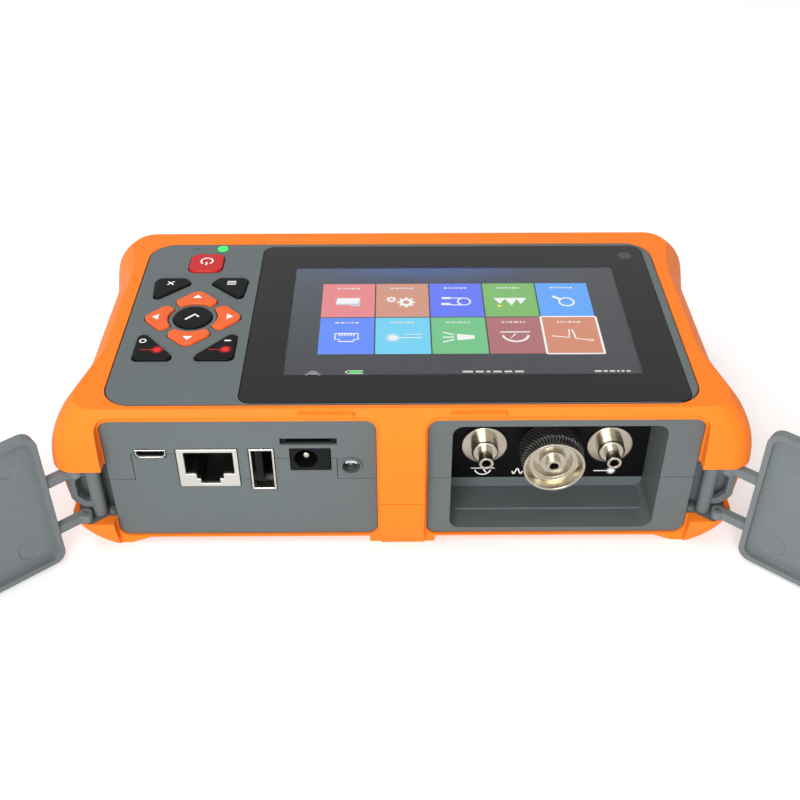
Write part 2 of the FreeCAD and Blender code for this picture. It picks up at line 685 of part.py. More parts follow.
def whole_casing():
    """Both halves of the casing as one shell, before it is parted."""
    shell = casing_form(0).cut(casing_room())
    for slot in both_sides(corner_slot(SLOT_IN)):
        shell = shell.cut(slot)
    inside = CASE_FRONT + CASE_WALL
    shell = shell.cut(recess((PANEL_FACE - OVERCUT, inside + OVERCUT), 0))
    shell = shell.cut(recess((inside, TUB_BACK), TUB_WALL))
    ring = Vector(TORCH_X, PANEL_FACE - TORCH_PROUD, TORCH_Z)
    shell = fuse(shell, [tube(ring, Y_AXIS, TORCH_RING_R, TORCH_HOLE_R, 2 * TORCH_PROUD)])
    light = rod(Vector(LIGHT_X, LIGHT_Y, MAT_LOW), Z_AXIS, LIGHT_R + FIT_GAP, BODY_TOP)
    cuts = port_cuts() + key_holes() + screen_cuts() + [light]
    return shell.cut(Part.makeCompound(cuts))


def bay_tub():
    """Moulded liner of the connector bay; its floor steps up towards the connectors."""
    front = CASE_FRONT + CASE_WALL
    room = recess((front - OVERCUT, RECESS_BACK), 0)
    step = block(
        RECESS_X, (RECESS_BACK - FLOOR_STEP_LONG, RECESS_BACK),
        (RECESS_Z[0], RECESS_Z[0] + FLOOR_STEP))
    tub = recess((front, TUB_BACK), TUB_WALL).cut(room.cut(step))
    return tub.cut(Part.makeCompound(connector_holes()))


def screen_cuts():
    """Seat of the glass in the deck and the window for the display under it."""
    seat = rounded_block(
        grow(GLASS_X, GLASS_GAP), grow(GLASS_Y, GLASS_GAP), (GLASS_SEAT, CASE_TOP + OVERCUT),
        GLASS_CORNER_R, Z_AXIS)
    window = block(
        grow(LCD_X, LCD_GAP), grow(LCD_Y, LCD_GAP), (DECK_UNDER - OVERCUT, GLASS_SEAT + OVERCUT))
    return [seat, window]


def casing_upper(shell):
    """Upper casing: deck, shoulders and the upper half of the front wall."""
    half = shell.cut(lower_half(CASE_SPLIT_GAP))
    low = CASE_SPLIT_Z + CASE_SPLIT_GAP
    posts = []
    holes = []
    for x, y in post_places():
        foot = Vector(x, y, low)
        posts.append(rod(foot, Z_AXIS, POST_R, CASE_SHOULDER - CASE_WALL / 2 - low))
        holes.append(rod(foot, Z_AXIS, SCREW_R, SCREW_LONG))
    for x in BOARD_SCREW_X:
        foot = Vector(x, BOARD_SCREW_Y, BOARD_TOP)
        posts.append(rod(foot, Z_AXIS, BOARD_POST_R, DECK_UNDER - BOARD_TOP))
        holes.append(rod(foot, Z_AXIS, SCREW_R, SCREW_LONG / 2))
    return largest(fuse(half, posts).cut(Part.makeCompound(holes + all_pins())))


def back_pad():
    """Raised face of the casing that fills the right-hand window of the rubber back."""
    return rounded_block(
        (WINDOW_IN + FIT_GAP, WINDOW_OUT - FIT_GAP), grow(WINDOW_Y, -FIT_GAP),
        (BACK_RELIEF, CASE_BOTTOM + CASE_WALL / 2), WINDOW_R, Z_AXIS)


def stand_room():
    """Pocket in the back that the stand folds into."""
    deep = (BACK_RELIEF - OVERCUT, BACK_RELIEF + STAND_THICK + 2 * STAND_GAP)
    return rounded_block(
        grow(STAND_X, STAND_GAP), grow(STAND_Y, STAND_GAP), deep, STAND_GAP, Z_AXIS)


def cover_cuts():
    """Rebate and opening for the battery cover, and the holes of its screws."""
    rebate = rounded_block(
        grow(COVER_X, COVER_GAP), grow(COVER_Y, COVER_GAP), (BACK_RELIEF - OVERCUT, COVER_SEAT),
        COVER_R, Z_AXIS)
    opening = rounded_block(
        grow(COVER_X, -COVER_LIP), grow(COVER_Y, -COVER_LIP), (COVER_SEAT - OVERCUT, BATTERY_LOW),
        COVER_R, Z_AXIS)
    keeps = []
    holes = []
    for x, y in cover_screw_places():
        foot = Vector(x, y, COVER_SEAT - OVERCUT)
        keeps.append(rod(foot, Z_AXIS, COVER_SCREW_INSET, BATTERY_LOW))
        holes.append(rod(foot, Z_AXIS, SCREW_R, BATTERY_LOW))
    return [rebate, opening.cut(Part.makeCompound(keeps))] + holes


def cover_screw_places():
    inset = COVER_SCREW_INSET
    return [(x, y) for x in grow(COVER_X, -inset) for y in grow(COVER_Y, -inset)]


def casing_lower(shell):
    """Lower casing: back, lower front wall, battery well and the stand's pocket."""
    half = shell.common(lower_half(0))
    floor = CASE_BOTTOM + CASE_WALL
    pocket = block(
        grow(STAND_X, STAND_POCKET_WALL), grow(STAND_Y, STAND_POCKET_WALL),
        (CASE_BOTTOM, floor + STAND_POCKET_ROOF))
    added = both_sides(back_pad()) + [pocket]
    cuts = [stand_room(), stand_pin(0)] + cover_cuts() + all_pins()
    for x, y in post_places():
        foot = Vector(x, y, floor - CASE_WALL / 2)
        bottom = Vector(x, y, 0)
        added.append(rod(foot, Z_AXIS, POST_R, CASE_SPLIT_Z - foot.z))
        cuts.append(rod(bottom, Z_AXIS, SCREW_HEAD_R + SCREW_GAP, SCREW_SEAT_Z))
        cuts.append(rod(bottom, Z_AXIS, SCREW_R + FIT_GAP, CASE_SPLIT_Z + OVERCUT))
    boss = rod(
        Vector(SLOT_BOSS_X, SLOT_BOSS_Y, SLOT_LOW - LUG_THICK / 2), Z_AXIS, SLOT_BOSS_R,
        SLOT_BOSS_HIGH + LUG_THICK / 2)
    return largest(fuse(half, added + both_sides(boss)).cut(Part.makeCompound(cuts)))


def stand_pin(spread):
    """Pin of the stand, grown by a running clearance where the stand turns on it."""
    reach = STAND_GAP + STAND_PIN_HOLD
    start = Vector(STAND_X[0] - reach, STAND_PIN_Y, STAND_PIN_Z)
    return rod(start, X_AXIS, STAND_PIN_R + spread, STAND_X[1] - STAND_X[0] + 2 * reach)


# ---------------------------------------------------------------- rubber jacket
def door_seat():
    """Right-hand hollow in the rubber's front that a closed door fills."""
    seat = block((SEAT_IN, SEAT_OUT), (-FAR, SEAT_FACE), (-FAR, SEAT_HIGH))
    upper = [edge for edge in edges_along(seat, Y_AXIS) if edge.BoundBox.ZMin > 0]
    return seat.makeFillet(SEAT_CORNER_R, upper)


def back_reliefs():
    """Shallow hollows in the back that leave the crossbar and the two sides as feet."""
    return both_sides(block((RELIEF_IN, RELIEF_OUT), (-FAR, FAR), (-OVERCUT, BACK_RELIEF)))


def front_lift():
    """Right-hand hollow under the strip below a bay, ramped down to the foot at its outer end."""
    corners = [
        (RELIEF_IN, -OVERCUT), (RELIEF_IN, LIFT_LOW), (LIFT_RAMP[0], LIFT_LOW),
        (LIFT_RAMP[1], 0), (LIFT_RAMP[1], -OVERCUT), (RELIEF_IN, -OVERCUT)]
    wire = Part.makePolygon([Vector(x, -FAR, z) for x, z in corners])
    return Part.Face(wire).extrude(Y_AXIS * (FAR + LIFT_BACK))


def whole_jacket():
    """Both halves of the rubber jacket as one, before it is parted."""
    window = rounded_block(
        (WINDOW_IN, WINDOW_OUT), WINDOW_Y, (-OVERCUT, CASE_BOTTOM + OVERCUT), WINDOW_R, Z_AXIS)
    panel = bay_panel((BODY_FRONT, CASE_FRONT + OVERCUT), FIT_GAP)
    cuts = [casing_form(FIT_GAP)] + back_reliefs() + all_pins()
    for cut in (door_seat(), front_lift(), corner_slot(PANEL_OUT - SLOT_R), panel, window):
        cuts += both_sides(cut)
    jacket = body_form(0)
    for cut in cuts:
        jacket = jacket.cut(cut)
    return jacket


def latch():
    """Raised ridge above the right-hand bay that the door's free end clips over."""
    ridge = rounded_block(LATCH_X, (LATCH_FACE, CASE_FRONT), LATCH_Z, LATCH_R, Y_AXIS)
    return ridge.cut(casing_form(FIT_GAP))


def jacket_upper(jacket):
    top = block((-FAR, FAR), (-FAR, FAR), (JACKET_SPLIT_Z + JACKET_SPLIT_GAP, 2 * BODY_TOP))
    return largest(fuse(jacket.common(top), both_sides(latch())))


def jacket_lower(jacket):
    bottom = block((-FAR, FAR), (-FAR, FAR), (-BODY_TOP, JACKET_SPLIT_Z))
    return largest(jacket.common(bottom))


# ---------------------------------------------------------------- keys
def arrow_outline(turn, spread):
    """Arrow key: a wedge with its tip outwards and a round hollow towards the middle key."""
    tip = ARROW_TIP + spread * math.sqrt(2)
    wing_out, wing_half = ARROW_WING[0], ARROW_WING[1] + spread
    root_out, root_half = ARROW_ROOT[0], ARROW_ROOT[1] + spread / 2
    corners = [
        (tip, 0, ARROW_TIP_R), (wing_out, wing_half, ARROW_WING_R),
        (root_out, root_half, FIT_GAP), (root_out, -root_half, FIT_GAP),
        (wing_out, -wing_half, ARROW_WING_R)]
    angle = math.radians(turn)
    turned = []
    for out, along, radius in corners:
        x = PAD_X + out * math.cos(angle) - along * math.sin(angle)
        y = PAD_Y + out * math.sin(angle) + along * math.cos(angle)
        turned.append((x, y, radius))
    return turned


def outset(corners, spread):
    """Outline moved out from its middle by about a spread."""
    middle_x = sum(corner[0] for corner in corners) / len(corners)
    middle_y = sum(corner[1] for corner in corners) / len(corners)
    moved = []
    for x, y, radius in corners:
        away = Vector(x - middle_x, y - middle_y, 0)
        away = away * (1 + OUTSET_SHARE * spread / away.Length)
        moved.append((middle_x + away.x, middle_y + away.y, radius))
    return moved


def key_outline(name, spread, z_span):
    """Solid over the outline of one key, grown by a spread."""
    low, high = z_span
    if name == "key_select":
        return rod(Vector(PAD_X, PAD_Y, low), Z_AXIS, SELECT_R + spread, high - low)
    if name == "key_power":
        half = POWER_SIZE / 2 + spread
        return rounded_block(
            (PAD_X - half, PAD_X + half), (POWER_Y - half, POWER_Y + half), z_span,
            POWER_CORNER_R, Z_AXIS)
    if name in ARROW_TURNS:
        solid = prism(arrow_outline(ARROW_TURNS[name], spread), z_span)
        foot = Vector(PAD_X, PAD_Y, low - OVERCUT)
        hollow = ARROW_IN - spread
        solid = solid.cut(rod(foot, Z_AXIS, hollow, high - low + 2 * OVERCUT))
        ends = []
        for edge in edges_along(solid, Z_AXIS):
            point = edge.CenterOfMass
            reach = math.hypot(point.x - PAD_X, point.y - PAD_Y)
            if abs(reach - hollow) < FIT_GAP:
                ends.append(edge)
        return solid.makeFillet(ARROW_ROOT_R, ends)
    corners, side = CORNER_KEYS[name]
    placed = [(PAD_X + side * x, PAD_Y + y, radius) for x, y, radius in corners]
    return prism(outset(placed, spread), z_span)


def key(name):
    """Key cap with a flange that holds it under the deck."""
    cap = key_outline(name, 0, (FLANGE_TOP - KEY_FLANGE / 2, KEY_TOP))
    top_edges = [edge for edge in cap.Edges if edge.BoundBox.ZMin > CASE_TOP]
    cap = cap.makeFillet(KEY_EDGE_R, top_edges)
    flange = key_outline(name, KEY_FLANGE_WIDE, (FLANGE_LOW, FLANGE_TOP))
    return fuse(cap, [flange])


def keypad_mat():
    """Silicone mat under the keys, with a hole for the light guide."""
    mat = rounded_block(MAT_X, MAT_Y, (MAT_LOW, MAT_TOP), MAT_CORNER_R, Z_AXIS)
    return mat.cut(rod(Vector(LIGHT_X, LIGHT_Y, 0), Z_AXIS, LIGHT_R + LIGHT_AIR, CASE_TOP))


def key_board():
    return rounded_block(MAT_X, MAT_Y, (KEY_BOARD_LOW, MAT_LOW), MAT_CORNER_R, Z_AXIS)


def status_light():
    """Light guide from the key board up to the deck."""
    foot = Vector(LIGHT_X, LIGHT_Y, MAT_LOW)
    return rod(foot, Z_AXIS, LIGHT_R, CASE_TOP + LIGHT_PROUD - MAT_LOW)


# ---------------------------------------------------------------- screen
def touch_glass():
    glass = rounded_block(GLASS_X, GLASS_Y, (GLASS_LOW, CASE_TOP), GLASS_CORNER_R, Z_AXIS)
    rim = [edge for edge in glass.Edges if edge.BoundBox.ZMin > CASE_TOP - GLASS_THICK / 2]
    return glass.makeChamfer(GLASS_CHAMFER, rim)


def glass_adhesive():
    """Double-sided tape frame between the glass and the deck."""
    outer = rounded_block(GLASS_X, GLASS_Y, (GLASS_SEAT, GLASS_LOW), GLASS_CORNER_R, Z_AXIS)
    return outer.cut(block(grow(LCD_X, LCD_GAP), grow(LCD_Y, LCD_GAP), (0, CASE_TOP)))


def lcd_panel():
    """Display module in its folded metal frame."""
    module = block(LCD_X, LCD_Y, (LCD_LOW, LCD_TOP))
    lit = block(grow(LCD_X, -LCD_RIM), grow(LCD_Y, -LCD_RIM), (LCD_TOP - LCD_RIM_HIGH, CASE_TOP))
    return module.cut(lit)


def display_cable():
    """Flat cable from the display down to the main board."""
    end = LCD_Y[1] + CABLE_REACH
    top = block(CABLE_X, (LCD_Y[1] - CABLE_TAIL, end), (LCD_LOW - CABLE_THICK, LCD_LOW))
    drop = block(CABLE_X, (end - CABLE_THICK, end), (BOARD_TOP, LCD_LOW))
    foot = block(CABLE_X, (end - CABLE_FOOT, end), (BOARD_TOP, BOARD_TOP + CABLE_THICK))
    return fuse(top, [drop, foot])


# ---------------------------------------------------------------- board and ports
def main_board():
    """Board of the sockets, notched round the connector bay."""
    notch_back = BOARD_FRONT + BOARD_NOTCH_LONG
    board = block((-BOARD_HALF, BOARD_HALF), (BOARD_FRONT, BOARD_BACK), (BOARD_LOW, BOARD_TOP))
    notch = block((BOARD_NOTCH_X, FAR), (-FAR, notch_back), (0, CASE_TOP))
    holes = []
    for x in BOARD_SCREW_X:
        foot = Vector(x, BOARD_SCREW_Y, BOARD_LOW - OVERCUT)
        holes.append(rod(foot, Z_AXIS, SCREW_R + SCREW_GAP, BOARD_THICK + 2 * OVERCUT))
    return board.cut(Part.makeCompound([notch] + holes))


def ethernet_jack():
    """Shielded network socket with a stepped mouth for the plug's clip."""
    front = PANEL_FACE - JACK_PROUD
    deep = (front - OVERCUT, front + JACK_MOUTH_DEEP)
    shell = block(JACK_X, (front, front + JACK_DEEP), JACK_Z)
    steps = []
    for low_x, high_x, drop in JACK_STEPS:
        span = (JACK_MOUTH_X[0] + low_x, JACK_MOUTH_X[0] + high_x)
        steps.append(block(span, deep, (JACK_MOUTH_Z[0] - drop, JACK_MOUTH_Z[1])))
    return shell.cut(fuse(block(JACK_MOUTH_X, deep, JACK_MOUTH_Z), steps))


def ethernet_contacts():
    """Eight sprung wires in the roof of the network socket."""
    middle = sum(JACK_MOUTH_X) / 2
    back = PANEL_FACE - JACK_PROUD + JACK_MOUTH_DEEP - CONTACT_R
    run = Vector(0, -CONTACT_LONG, CONTACT_RISE).normalize()
    wires = []
    for index in range(CONTACTS):
        x = middle + (index - (CONTACTS - 1) / 2) * CONTACT_PITCH
        foot = Vector(x, back, JACK_MOUTH_Z[1] - CONTACT_DROP)
        wires.append(rod(foot, run, CONTACT_R, CONTACT_LONG))
    return Part.makeCompound(wires)


def usb_a_port():
    """Upright USB-A socket shell."""
    front = PANEL_FACE - USB_PROUD
    outer = block(USB_X, (front, front + USB_DEEP), USB_Z)
    deep = (front - OVERCUT, front + USB_DEEP - USB_BACK_WALL)
    return outer.cut(block(grow(USB_X, -USB_WALL), deep, grow(USB_Z, -USB_WALL)))


def usb_a_tongue():
    """Plastic tongue along the socket's left side."""
    front = PANEL_FACE - USB_PROUD
    left = USB_X[0] + USB_WALL + USB_TONGUE_SIDE
    middle = sum(USB_Z) / 2
    half = USB_TONGUE_HIGH / 2
    deep = (front + USB_TONGUE_BACK, front + USB_DEEP - USB_BACK_WALL)
    return block((left, left + USB_TONGUE), deep, (middle - half, middle + half))


def micro_outline(spread, y_span):
    """Micro socket form: a flat slot with its lower corners cut away."""
    z_span = grow(MICRO_Z, spread)
    solid = block(grow(MICRO_X, spread), y_span, z_span)
    middle = sum(z_span) / 2
    lower = [edge for edge in edges_along(solid, Y_AXIS) if edge.BoundBox.ZMax < middle]
    return solid.makeChamfer(MICRO_CHAMFER + spread / 2, lower)


def micro_usb_port():
    front = PANEL_FACE - MICRO_PROUD
    back = front + MICRO_DEEP
    outer = micro_outline(0, (front, back))
    shell = outer.cut(micro_outline(-MICRO_WALL, (front - OVERCUT, back - 2 * MICRO_WALL)))
    low, high = MICRO_Z[1] - MICRO_TONGUE[1], MICRO_Z[1] - MICRO_TONGUE[0]
    tongue = block(
        grow(MICRO_X, -MICRO_TONGUE_INSET), (front + MICRO_TONGUE_BACK, back - MICRO_WALL),
        (low, high))
    return fuse(shell, [tongue])


def card_reader():
    """Memory card reader behind its slot in the front wall."""
    front = PANEL_FACE + CARD_BACK
    body = block(CARD_X, (front, front + CARD_DEEP), CARD_Z)
    middle_x = sum(CARD_X) / 2
    middle_z = sum(CARD_Z) / 2
    slot = block(
        (middle_x - CARD_SLOT_WIDE / 2, middle_x + CARD_SLOT_WIDE / 2),
        (front - OVERCUT, front + CARD_SLOT_DEEP),
        (middle_z - CARD_SLOT_HIGH / 2, middle_z + CARD_SLOT_HIGH / 2))
    return body.cut(slot)


def power_jack_rod(back, radius, length):
    """Rod on the charging socket's axis that starts some way behind its face."""
    start = Vector(POWER_JACK_HOLE_X, PANEL_FACE - POWER_JACK_PROUD + back, POWER_JACK_HOLE_Z)
    return rod(start, Y_AXIS, radius, length)


def power_jack():
    """Moulded body of the charging socket."""
    front = PANEL_FACE - POWER_JACK_PROUD
    body = block(POWER_JACK_X, (front, front + POWER_JACK_DEEP), POWER_JACK_Z)
    hole = power_jack_rod(-OVERCUT, POWER_JACK_HOLE_R, POWER_JACK_BORE_DEEP + OVERCUT)
    pin = power_jack_rod(0, POWER_JACK_PIN_R, POWER_JACK_PIN_END)
    return body.cut(hole.fuse(pin))


def power_jack_pin():
    pin = power_jack_rod(
        POWER_JACK_PIN_BACK, POWER_JACK_PIN_R, POWER_JACK_PIN_END - POWER_JACK_PIN_BACK)
    tip = min(pin.Faces, key=lambda face: face.CenterOfMass.y)
    return pin.makeFillet(POWER_JACK_PIN_R * POWER_JACK_PIN_NOSE, tip.Edges)


def torch_led():
    """Work light: a round-nosed lens on a stub that reaches back to its lead."""
    middle = Vector(TORCH_X, PANEL_FACE + TORCH_BACK, TORCH_Z)
    lens = Part.makeSphere(TORCH_LENS_R, middle)
    stem = rod(middle, Y_AXIS, TORCH_LENS_R, TORCH_STEM)
    collar = rod(
        middle + Y_AXIS * TORCH_COLLAR, Y_AXIS, TORCH_HOLE_R - FIT_GAP, TORCH_COLLAR)
    return fuse(lens, [stem, collar])


# ---------------------------------------------------------------- optical connectors
def connector_plate():
    """Black plate behind the three optical connectors."""
    plate = block(
        grow(RECESS_X, -PLATE_GAP), (PLATE_FACE, RECESS_BACK), (PLATE_LOW, RECESS_Z[1] - PLATE_GAP))
    upper = [edge for edge in edges_along(plate, Y_AXIS) if edge.BoundBox.ZMin > AXIS_Z]
    plate = plate.makeFillet(RECESS_CORNER_R, upper)
    return plate.cut(Part.makeCompound(connector_holes()))


def turned_piece(x, profile, bore_r, bore_end):
    """Turned piece on one connector's axis: (y, radius) steps from the front, with a bore."""
    steps = []
    for (start, radius), (end, _) in zip(profile, profile[1:]):
        steps.append(rod(Vector(x, start, AXIS_Z), Y_AXIS, radius, end - start))
    front = profile[0][0] - OVERCUT
    bore = rod(Vector(x, front, AXIS_Z), Y_AXIS, bore_r, bore_end - front)
    return fuse(steps[0], steps[1:]).cut(bore)


def small_port(x):
    """Push-on adapter: flange on the plate, body, and a thin sleeve for the plug's ferrule."""
    profile = [
        (SMALL_SLEEVE_FRONT, SMALL_SLEEVE_R),
        (SMALL_BODY_FRONT, SMALL_BODY_R),
        (PLATE_FACE - SMALL_FLANGE_THICK, SMALL_FLANGE_R),
        (PLATE_FACE, SMALL_SHANK_R),
        (TUB_BACK + SHANK_PROUD, 0),
    ]
    port = turned_piece(x, profile, FERRULE_BORE_R, TUB_BACK - SHANK_PROUD)
    shoulder = [
        edge for edge in port.Edges
        if edge.BoundBox.YLength < FIT_GAP and abs(edge.BoundBox.YMin - SMALL_BODY_FRONT) < FIT_GAP
        and edge.BoundBox.XLength > SMALL_BODY_R + SMALL_SLEEVE_R]
    return port.makeFillet(SMALL_SHOULDER_R, shoulder)


def fibre_port():
    """Fixed body of the test port: threaded shank, cup and the ferrule hub inside it."""
    neck_r = NUT_BORE_R - NUT_RUN
    rim_end = NUT_FRONT - FIT_GAP
    cone_end = rim_end - CUP_WALL
    front = Vector(FIBRE_X, CUP_FRONT, AXIS_Z)

    def on_axis(start, radius, end):
        return rod(Vector(FIBRE_X, start, AXIS_Z), Y_AXIS, radius, end - start)

    cup = Part.makeCone(CUP_R, CUP_NECK_R, rim_end - CUP_FRONT, front, Y_AXIS)
    hollow = Part.makeCone(
        CUP_R - CUP_WALL, CUP_NECK_R - CUP_WALL, cone_end - CUP_FRONT, front, Y_AXIS)
    neck = on_axis(rim_end - FIT_GAP, neck_r, TUB_BACK)
    well = on_axis(cone_end, neck_r - CUP_WALL, CUP_FLOOR)
    hub = on_axis(HUB_FRONT, HUB_R, CUP_FLOOR + CUP_WALL)
    body = fuse(fuse(cup, [neck]).cut(fuse(hollow, [well])), [hub])
    return largest(body.cut(on_axis(CUP_FRONT - OVERCUT, SLEEVE_R, TUB_BACK - SHANK_PROUD)))


def ferrule_sleeve():
    """Split-sleeve tube in the middle of the test port."""
    start = Vector(FIBRE_X, SLEEVE_FRONT, AXIS_Z)
    return tube(start, Y_AXIS, SLEEVE_R, FERRULE_BORE_R, TUB_BACK - SHANK_PROUD - SLEEVE_FRONT)


def knurled_nut():
    """Black knurled ring that turns on the test port's neck."""
    ring = tube(Vector(FIBRE_X, NUT_FRONT, AXIS_Z), Y_AXIS, NUT_R, NUT_BORE_R, NUT_LONG)
    ends = [
        edge for edge in ring.Edges
        if edge.BoundBox.YLength < FIT_GAP and edge.BoundBox.XLength > NUT_R + NUT_BORE_R]
    ring = ring.makeChamfer(NUT_CHAMFER, ends)
    reach = NUT_R + KNURL_R * KNURL_OUT
    grooves = []
    for index in range(KNURLS):
        angle = 2 * math.pi * index / KNURLS
        foot = Vector(
            FIBRE_X + reach * math.cos(angle), NUT_FRONT - OVERCUT, AXIS_Z + reach * math.sin(angle))
        grooves.append(rod(foot, Y_AXIS, KNURL_R, NUT_LONG + 2 * OVERCUT))
    return ring.cut(Part.makeCompound(grooves))


# ---------------------------------------------------------------- doors and corner fittings
def knuckle_spans():
    """Levels of the lower and the upper knuckle of a door."""
    low = SLOT_LOW + KNUCKLE_AIR
    high = SLOT_HIGH - KNUCKLE_AIR
    return (low, low + KNUCKLE_HIGH), (high - KNUCKLE_HIGH, high)


def hinge_pins():
    """Right-hand pins, each pressed into its lugs: two stubs of the hinge, and the loop's pin."""
    lower_end = knuckle_spans()[0][1]
    upper_start = knuckle_spans()[1][0]
    low = SLOT_LOW - PIN_HOLD
    high = SLOT_HIGH + PIN_HOLD
    lower = rod(Vector(HINGE_X, HINGE_Y, low), Z_AXIS, HINGE_PIN_R, lower_end - low)
    upper = rod(Vector(HINGE_X, HINGE_Y, upper_start), Z_AXIS, HINGE_PIN_R, high - upper_start)
    loop = rod(Vector(LOOP_X, LOOP_Y, low), Z_AXIS, LOOP_PIN_R, high - low)
    return lower, upper, loop


def all_pins():
    return [side for pin in hinge_pins() for side in both_sides(pin)]


def closed_door():
    """Right-hand door as it lies closed: a shallow tray with two hinge ears."""
    back = SEAT_FACE - DOOR_SEAT_GAP
    floor = DOOR_FACE + DOOR_SKIN
    x_span = (DOOR_IN, DOOR_OUT)
    z_span = (DOOR_LOW, DOOR_HIGH)
    tray = rounded_block(x_span, (DOOR_FACE, back), z_span, DOOR_CORNER_R, Y_AXIS)
    outer = [edge for edge in tray.Edges if edge.BoundBox.YMax < floor - DOOR_EDGE_R / 2]
    tray = tray.makeFillet(DOOR_EDGE_R, outer)
    cuts = [rounded_block(
        grow(x_span, -DOOR_RIM), (floor, back + OVERCUT), grow(z_span, -DOOR_RIM),
        DOOR_INNER_R, Y_AXIS)]
    for x, z in ejector_marks():
        foot = Vector(x, floor - EJECTOR_MARK_DEEP, z)
        cuts.append(rod(foot, Y_AXIS, EJECTOR_MARK_R, OVERCUT))
    ears = []
    for low, high in knuckle_spans():
        ears.append(rod(Vector(HINGE_X, HINGE_Y, low), Z_AXIS, KNUCKLE_R, high - low))
        ears.append(block((DOOR_OUT - DOOR_RIM, HINGE_X), (EAR_OUTER, EAR_INNER), (low, high)))
    bore = rod(Vector(HINGE_X, HINGE_Y, 0), Z_AXIS, HINGE_PIN_R + HINGE_RUN, BODY_TOP)
    return fuse(tray.cut(Part.makeCompound(cuts)), ears).cut(bore)


def ejector_marks():
    """Places of the round marks inside a door: one in the middle and four near its corners."""
    side, end = EJECTOR_MARK_INSET
    marks = [((DOOR_IN + DOOR_OUT) / 2, (DOOR_LOW + DOOR_HIGH) / 2)]
    for x in (DOOR_IN + side, DOOR_OUT - side):
        for z in (DOOR_LOW + end, DOOR_HIGH - end):
            marks.append((x, z))
    return marks


def open_door():
    """Right-hand door swung open about its hinge pins."""
    door = closed_door()
    door.rotate(Vector(HINGE_X, HINGE_Y, 0), Z_AXIS, DOOR_OPEN_DEG)
    return door


def loop_plate(reach, low, high, slant, radius, deep):
    """Flat D-shaped plate that points out from the loop's barrel."""
    out = LOOP_X + reach
    turn = LOOP_X + reach - slant
    corners = [
        (LOOP_X, low, LOOP_ROOT_R), (turn, low, radius), (out, low + slant, radius),
        (out, high - slant, radius), (turn, high, radius), (LOOP_X, high, LOOP_ROOT_R)]
    points = [(Vector(x, LOOP_Y - deep / 2, z), corner_r) for x, z, corner_r in corners]
    return Part.Face(rounded_outline(points)).extrude(Y_AXIS * deep)


def strap_loop():
    """Right-hand strap loop: a barrel on its pin with a flat D pointing outwards."""
    low, high = SLOT_LOW + KNUCKLE_AIR, SLOT_HIGH - KNUCKLE_AIR
    barrel = rod(Vector(LOOP_X, LOOP_Y, low), Z_AXIS, LOOP_BARREL_R, high - low)
    plate = loop_plate(LOOP_REACH, LOOP_LOW, LOOP_HIGH, LOOP_SLANT, LOOP_CORNER_R, LOOP_THICK)
    hole = loop_plate(
        LOOP_REACH - LOOP_BAR, LOOP_LOW + LOOP_BAR, LOOP_HIGH - LOOP_BAR,
        LOOP_SLANT - LOOP_INNER_R, LOOP_INNER_R, LOOP_THICK + 2 * OVERCUT)
    bore = rod(Vector(LOOP_X, LOOP_Y, 0), Z_AXIS, LOOP_PIN_R + LOOP_RUN, BODY_TOP)
    return largest(fuse(plate.cut(hole), [barrel]).cut(bore))


# ---------------------------------------------------------------- inside
def battery_pack():
    """Two round cells side by side in their shrink wrap."""
    long = BATTERY_X[1] - BATTERY_X[0]
    cells = []
    for side in (-1, 1):
        start = Vector(BATTERY_X[0], BATTERY_MIDDLE + side * CELL_R, BATTERY_LOW + CELL_R)
        cells.append(rod(start, X_AXIS, CELL_R, long))
    web = block(
        BATTERY_X, (BATTERY_MIDDLE - CELL_R, BATTERY_MIDDLE + CELL_R),
        (BATTERY_LOW, BATTERY_LOW + 2 * CELL_R))
    return fuse(web, cells)


def fibre_spool():
    """Wound launch fibre in a flat ring."""
    return tube(Vector(FIBRE_X, SPOOL_Y, SPOOL_LOW), Z_AXIS, SPOOL_R, SPOOL_HOLE_R, SPOOL_HIGH)


def optics_module():
    """Screened module with the pulse laser and the receiver, behind the test port."""
    module = rounded_block(MODULE_X, MODULE_Y, MODULE_Z, MODULE_CORNER_R, Z_AXIS)
    start = Vector(FIBRE_X, TUB_BACK + OPTIC_GAP, AXIS_Z)
    nose = rod(start, Y_AXIS, MODULE_NOSE_R, MODULE_Y[0] - start.y + MODULE_CORNER_R)
    return fuse(module, [nose])


def optic_rod(x, radius, length):
    """Round can on the axis of a small port, close behind its shank."""
    start = Vector(x, TUB_BACK + SHANK_PROUD + OPTIC_GAP, AXIS_Z)
    return rod(start, Y_AXIS, radius, length)


def speaker():
    """Buzzer under the main board."""
    return rod(
        Vector(SPEAKER_X, SPEAKER_Y, BOARD_LOW - SPEAKER_HIGH), Z_AXIS, SPEAKER_R, SPEAKER_HIGH)


def headed_screw(foot, seat, long):
    """Screw with its cross-slotted head below the seat level and its shank above it."""
    x, y = foot
    head = rod(Vector(x, y, seat - SCREW_HEAD), Z_AXIS, SCREW_HEAD_R, SCREW_HEAD)
    shank = rod(Vector(x, y, seat), Z_AXIS, SCREW_R - FIT_GAP, long)
    reach = SCREW_HEAD_R * SCREW_SLOT_SHARE
    deep = (seat - 2 * SCREW_HEAD, seat - SCREW_HEAD / 2)
    cross = []
    for x_half, y_half in ((reach, SCREW_SLOT / 2), (SCREW_SLOT / 2, reach)):
        cross.append(block((x - x_half, x + x_half), (y - y_half, y + y_half), deep))
    return fuse(head, [shank]).cut(Part.makeCompound(cross))


def case_screws():
    screws = [headed_screw(place, SCREW_SEAT_Z, SCREW_LONG) for place in post_places()]
    return Part.makeCompound(screws)


def board_screws():
    """Screws that hold the main board up against the posts of the upper casing."""
    long = BOARD_THICK + SCREW_LONG / 3
    screws = [headed_screw((x, BOARD_SCREW_Y), BOARD_LOW, long) for x in BOARD_SCREW_X]
    return Part.makeCompound(screws)


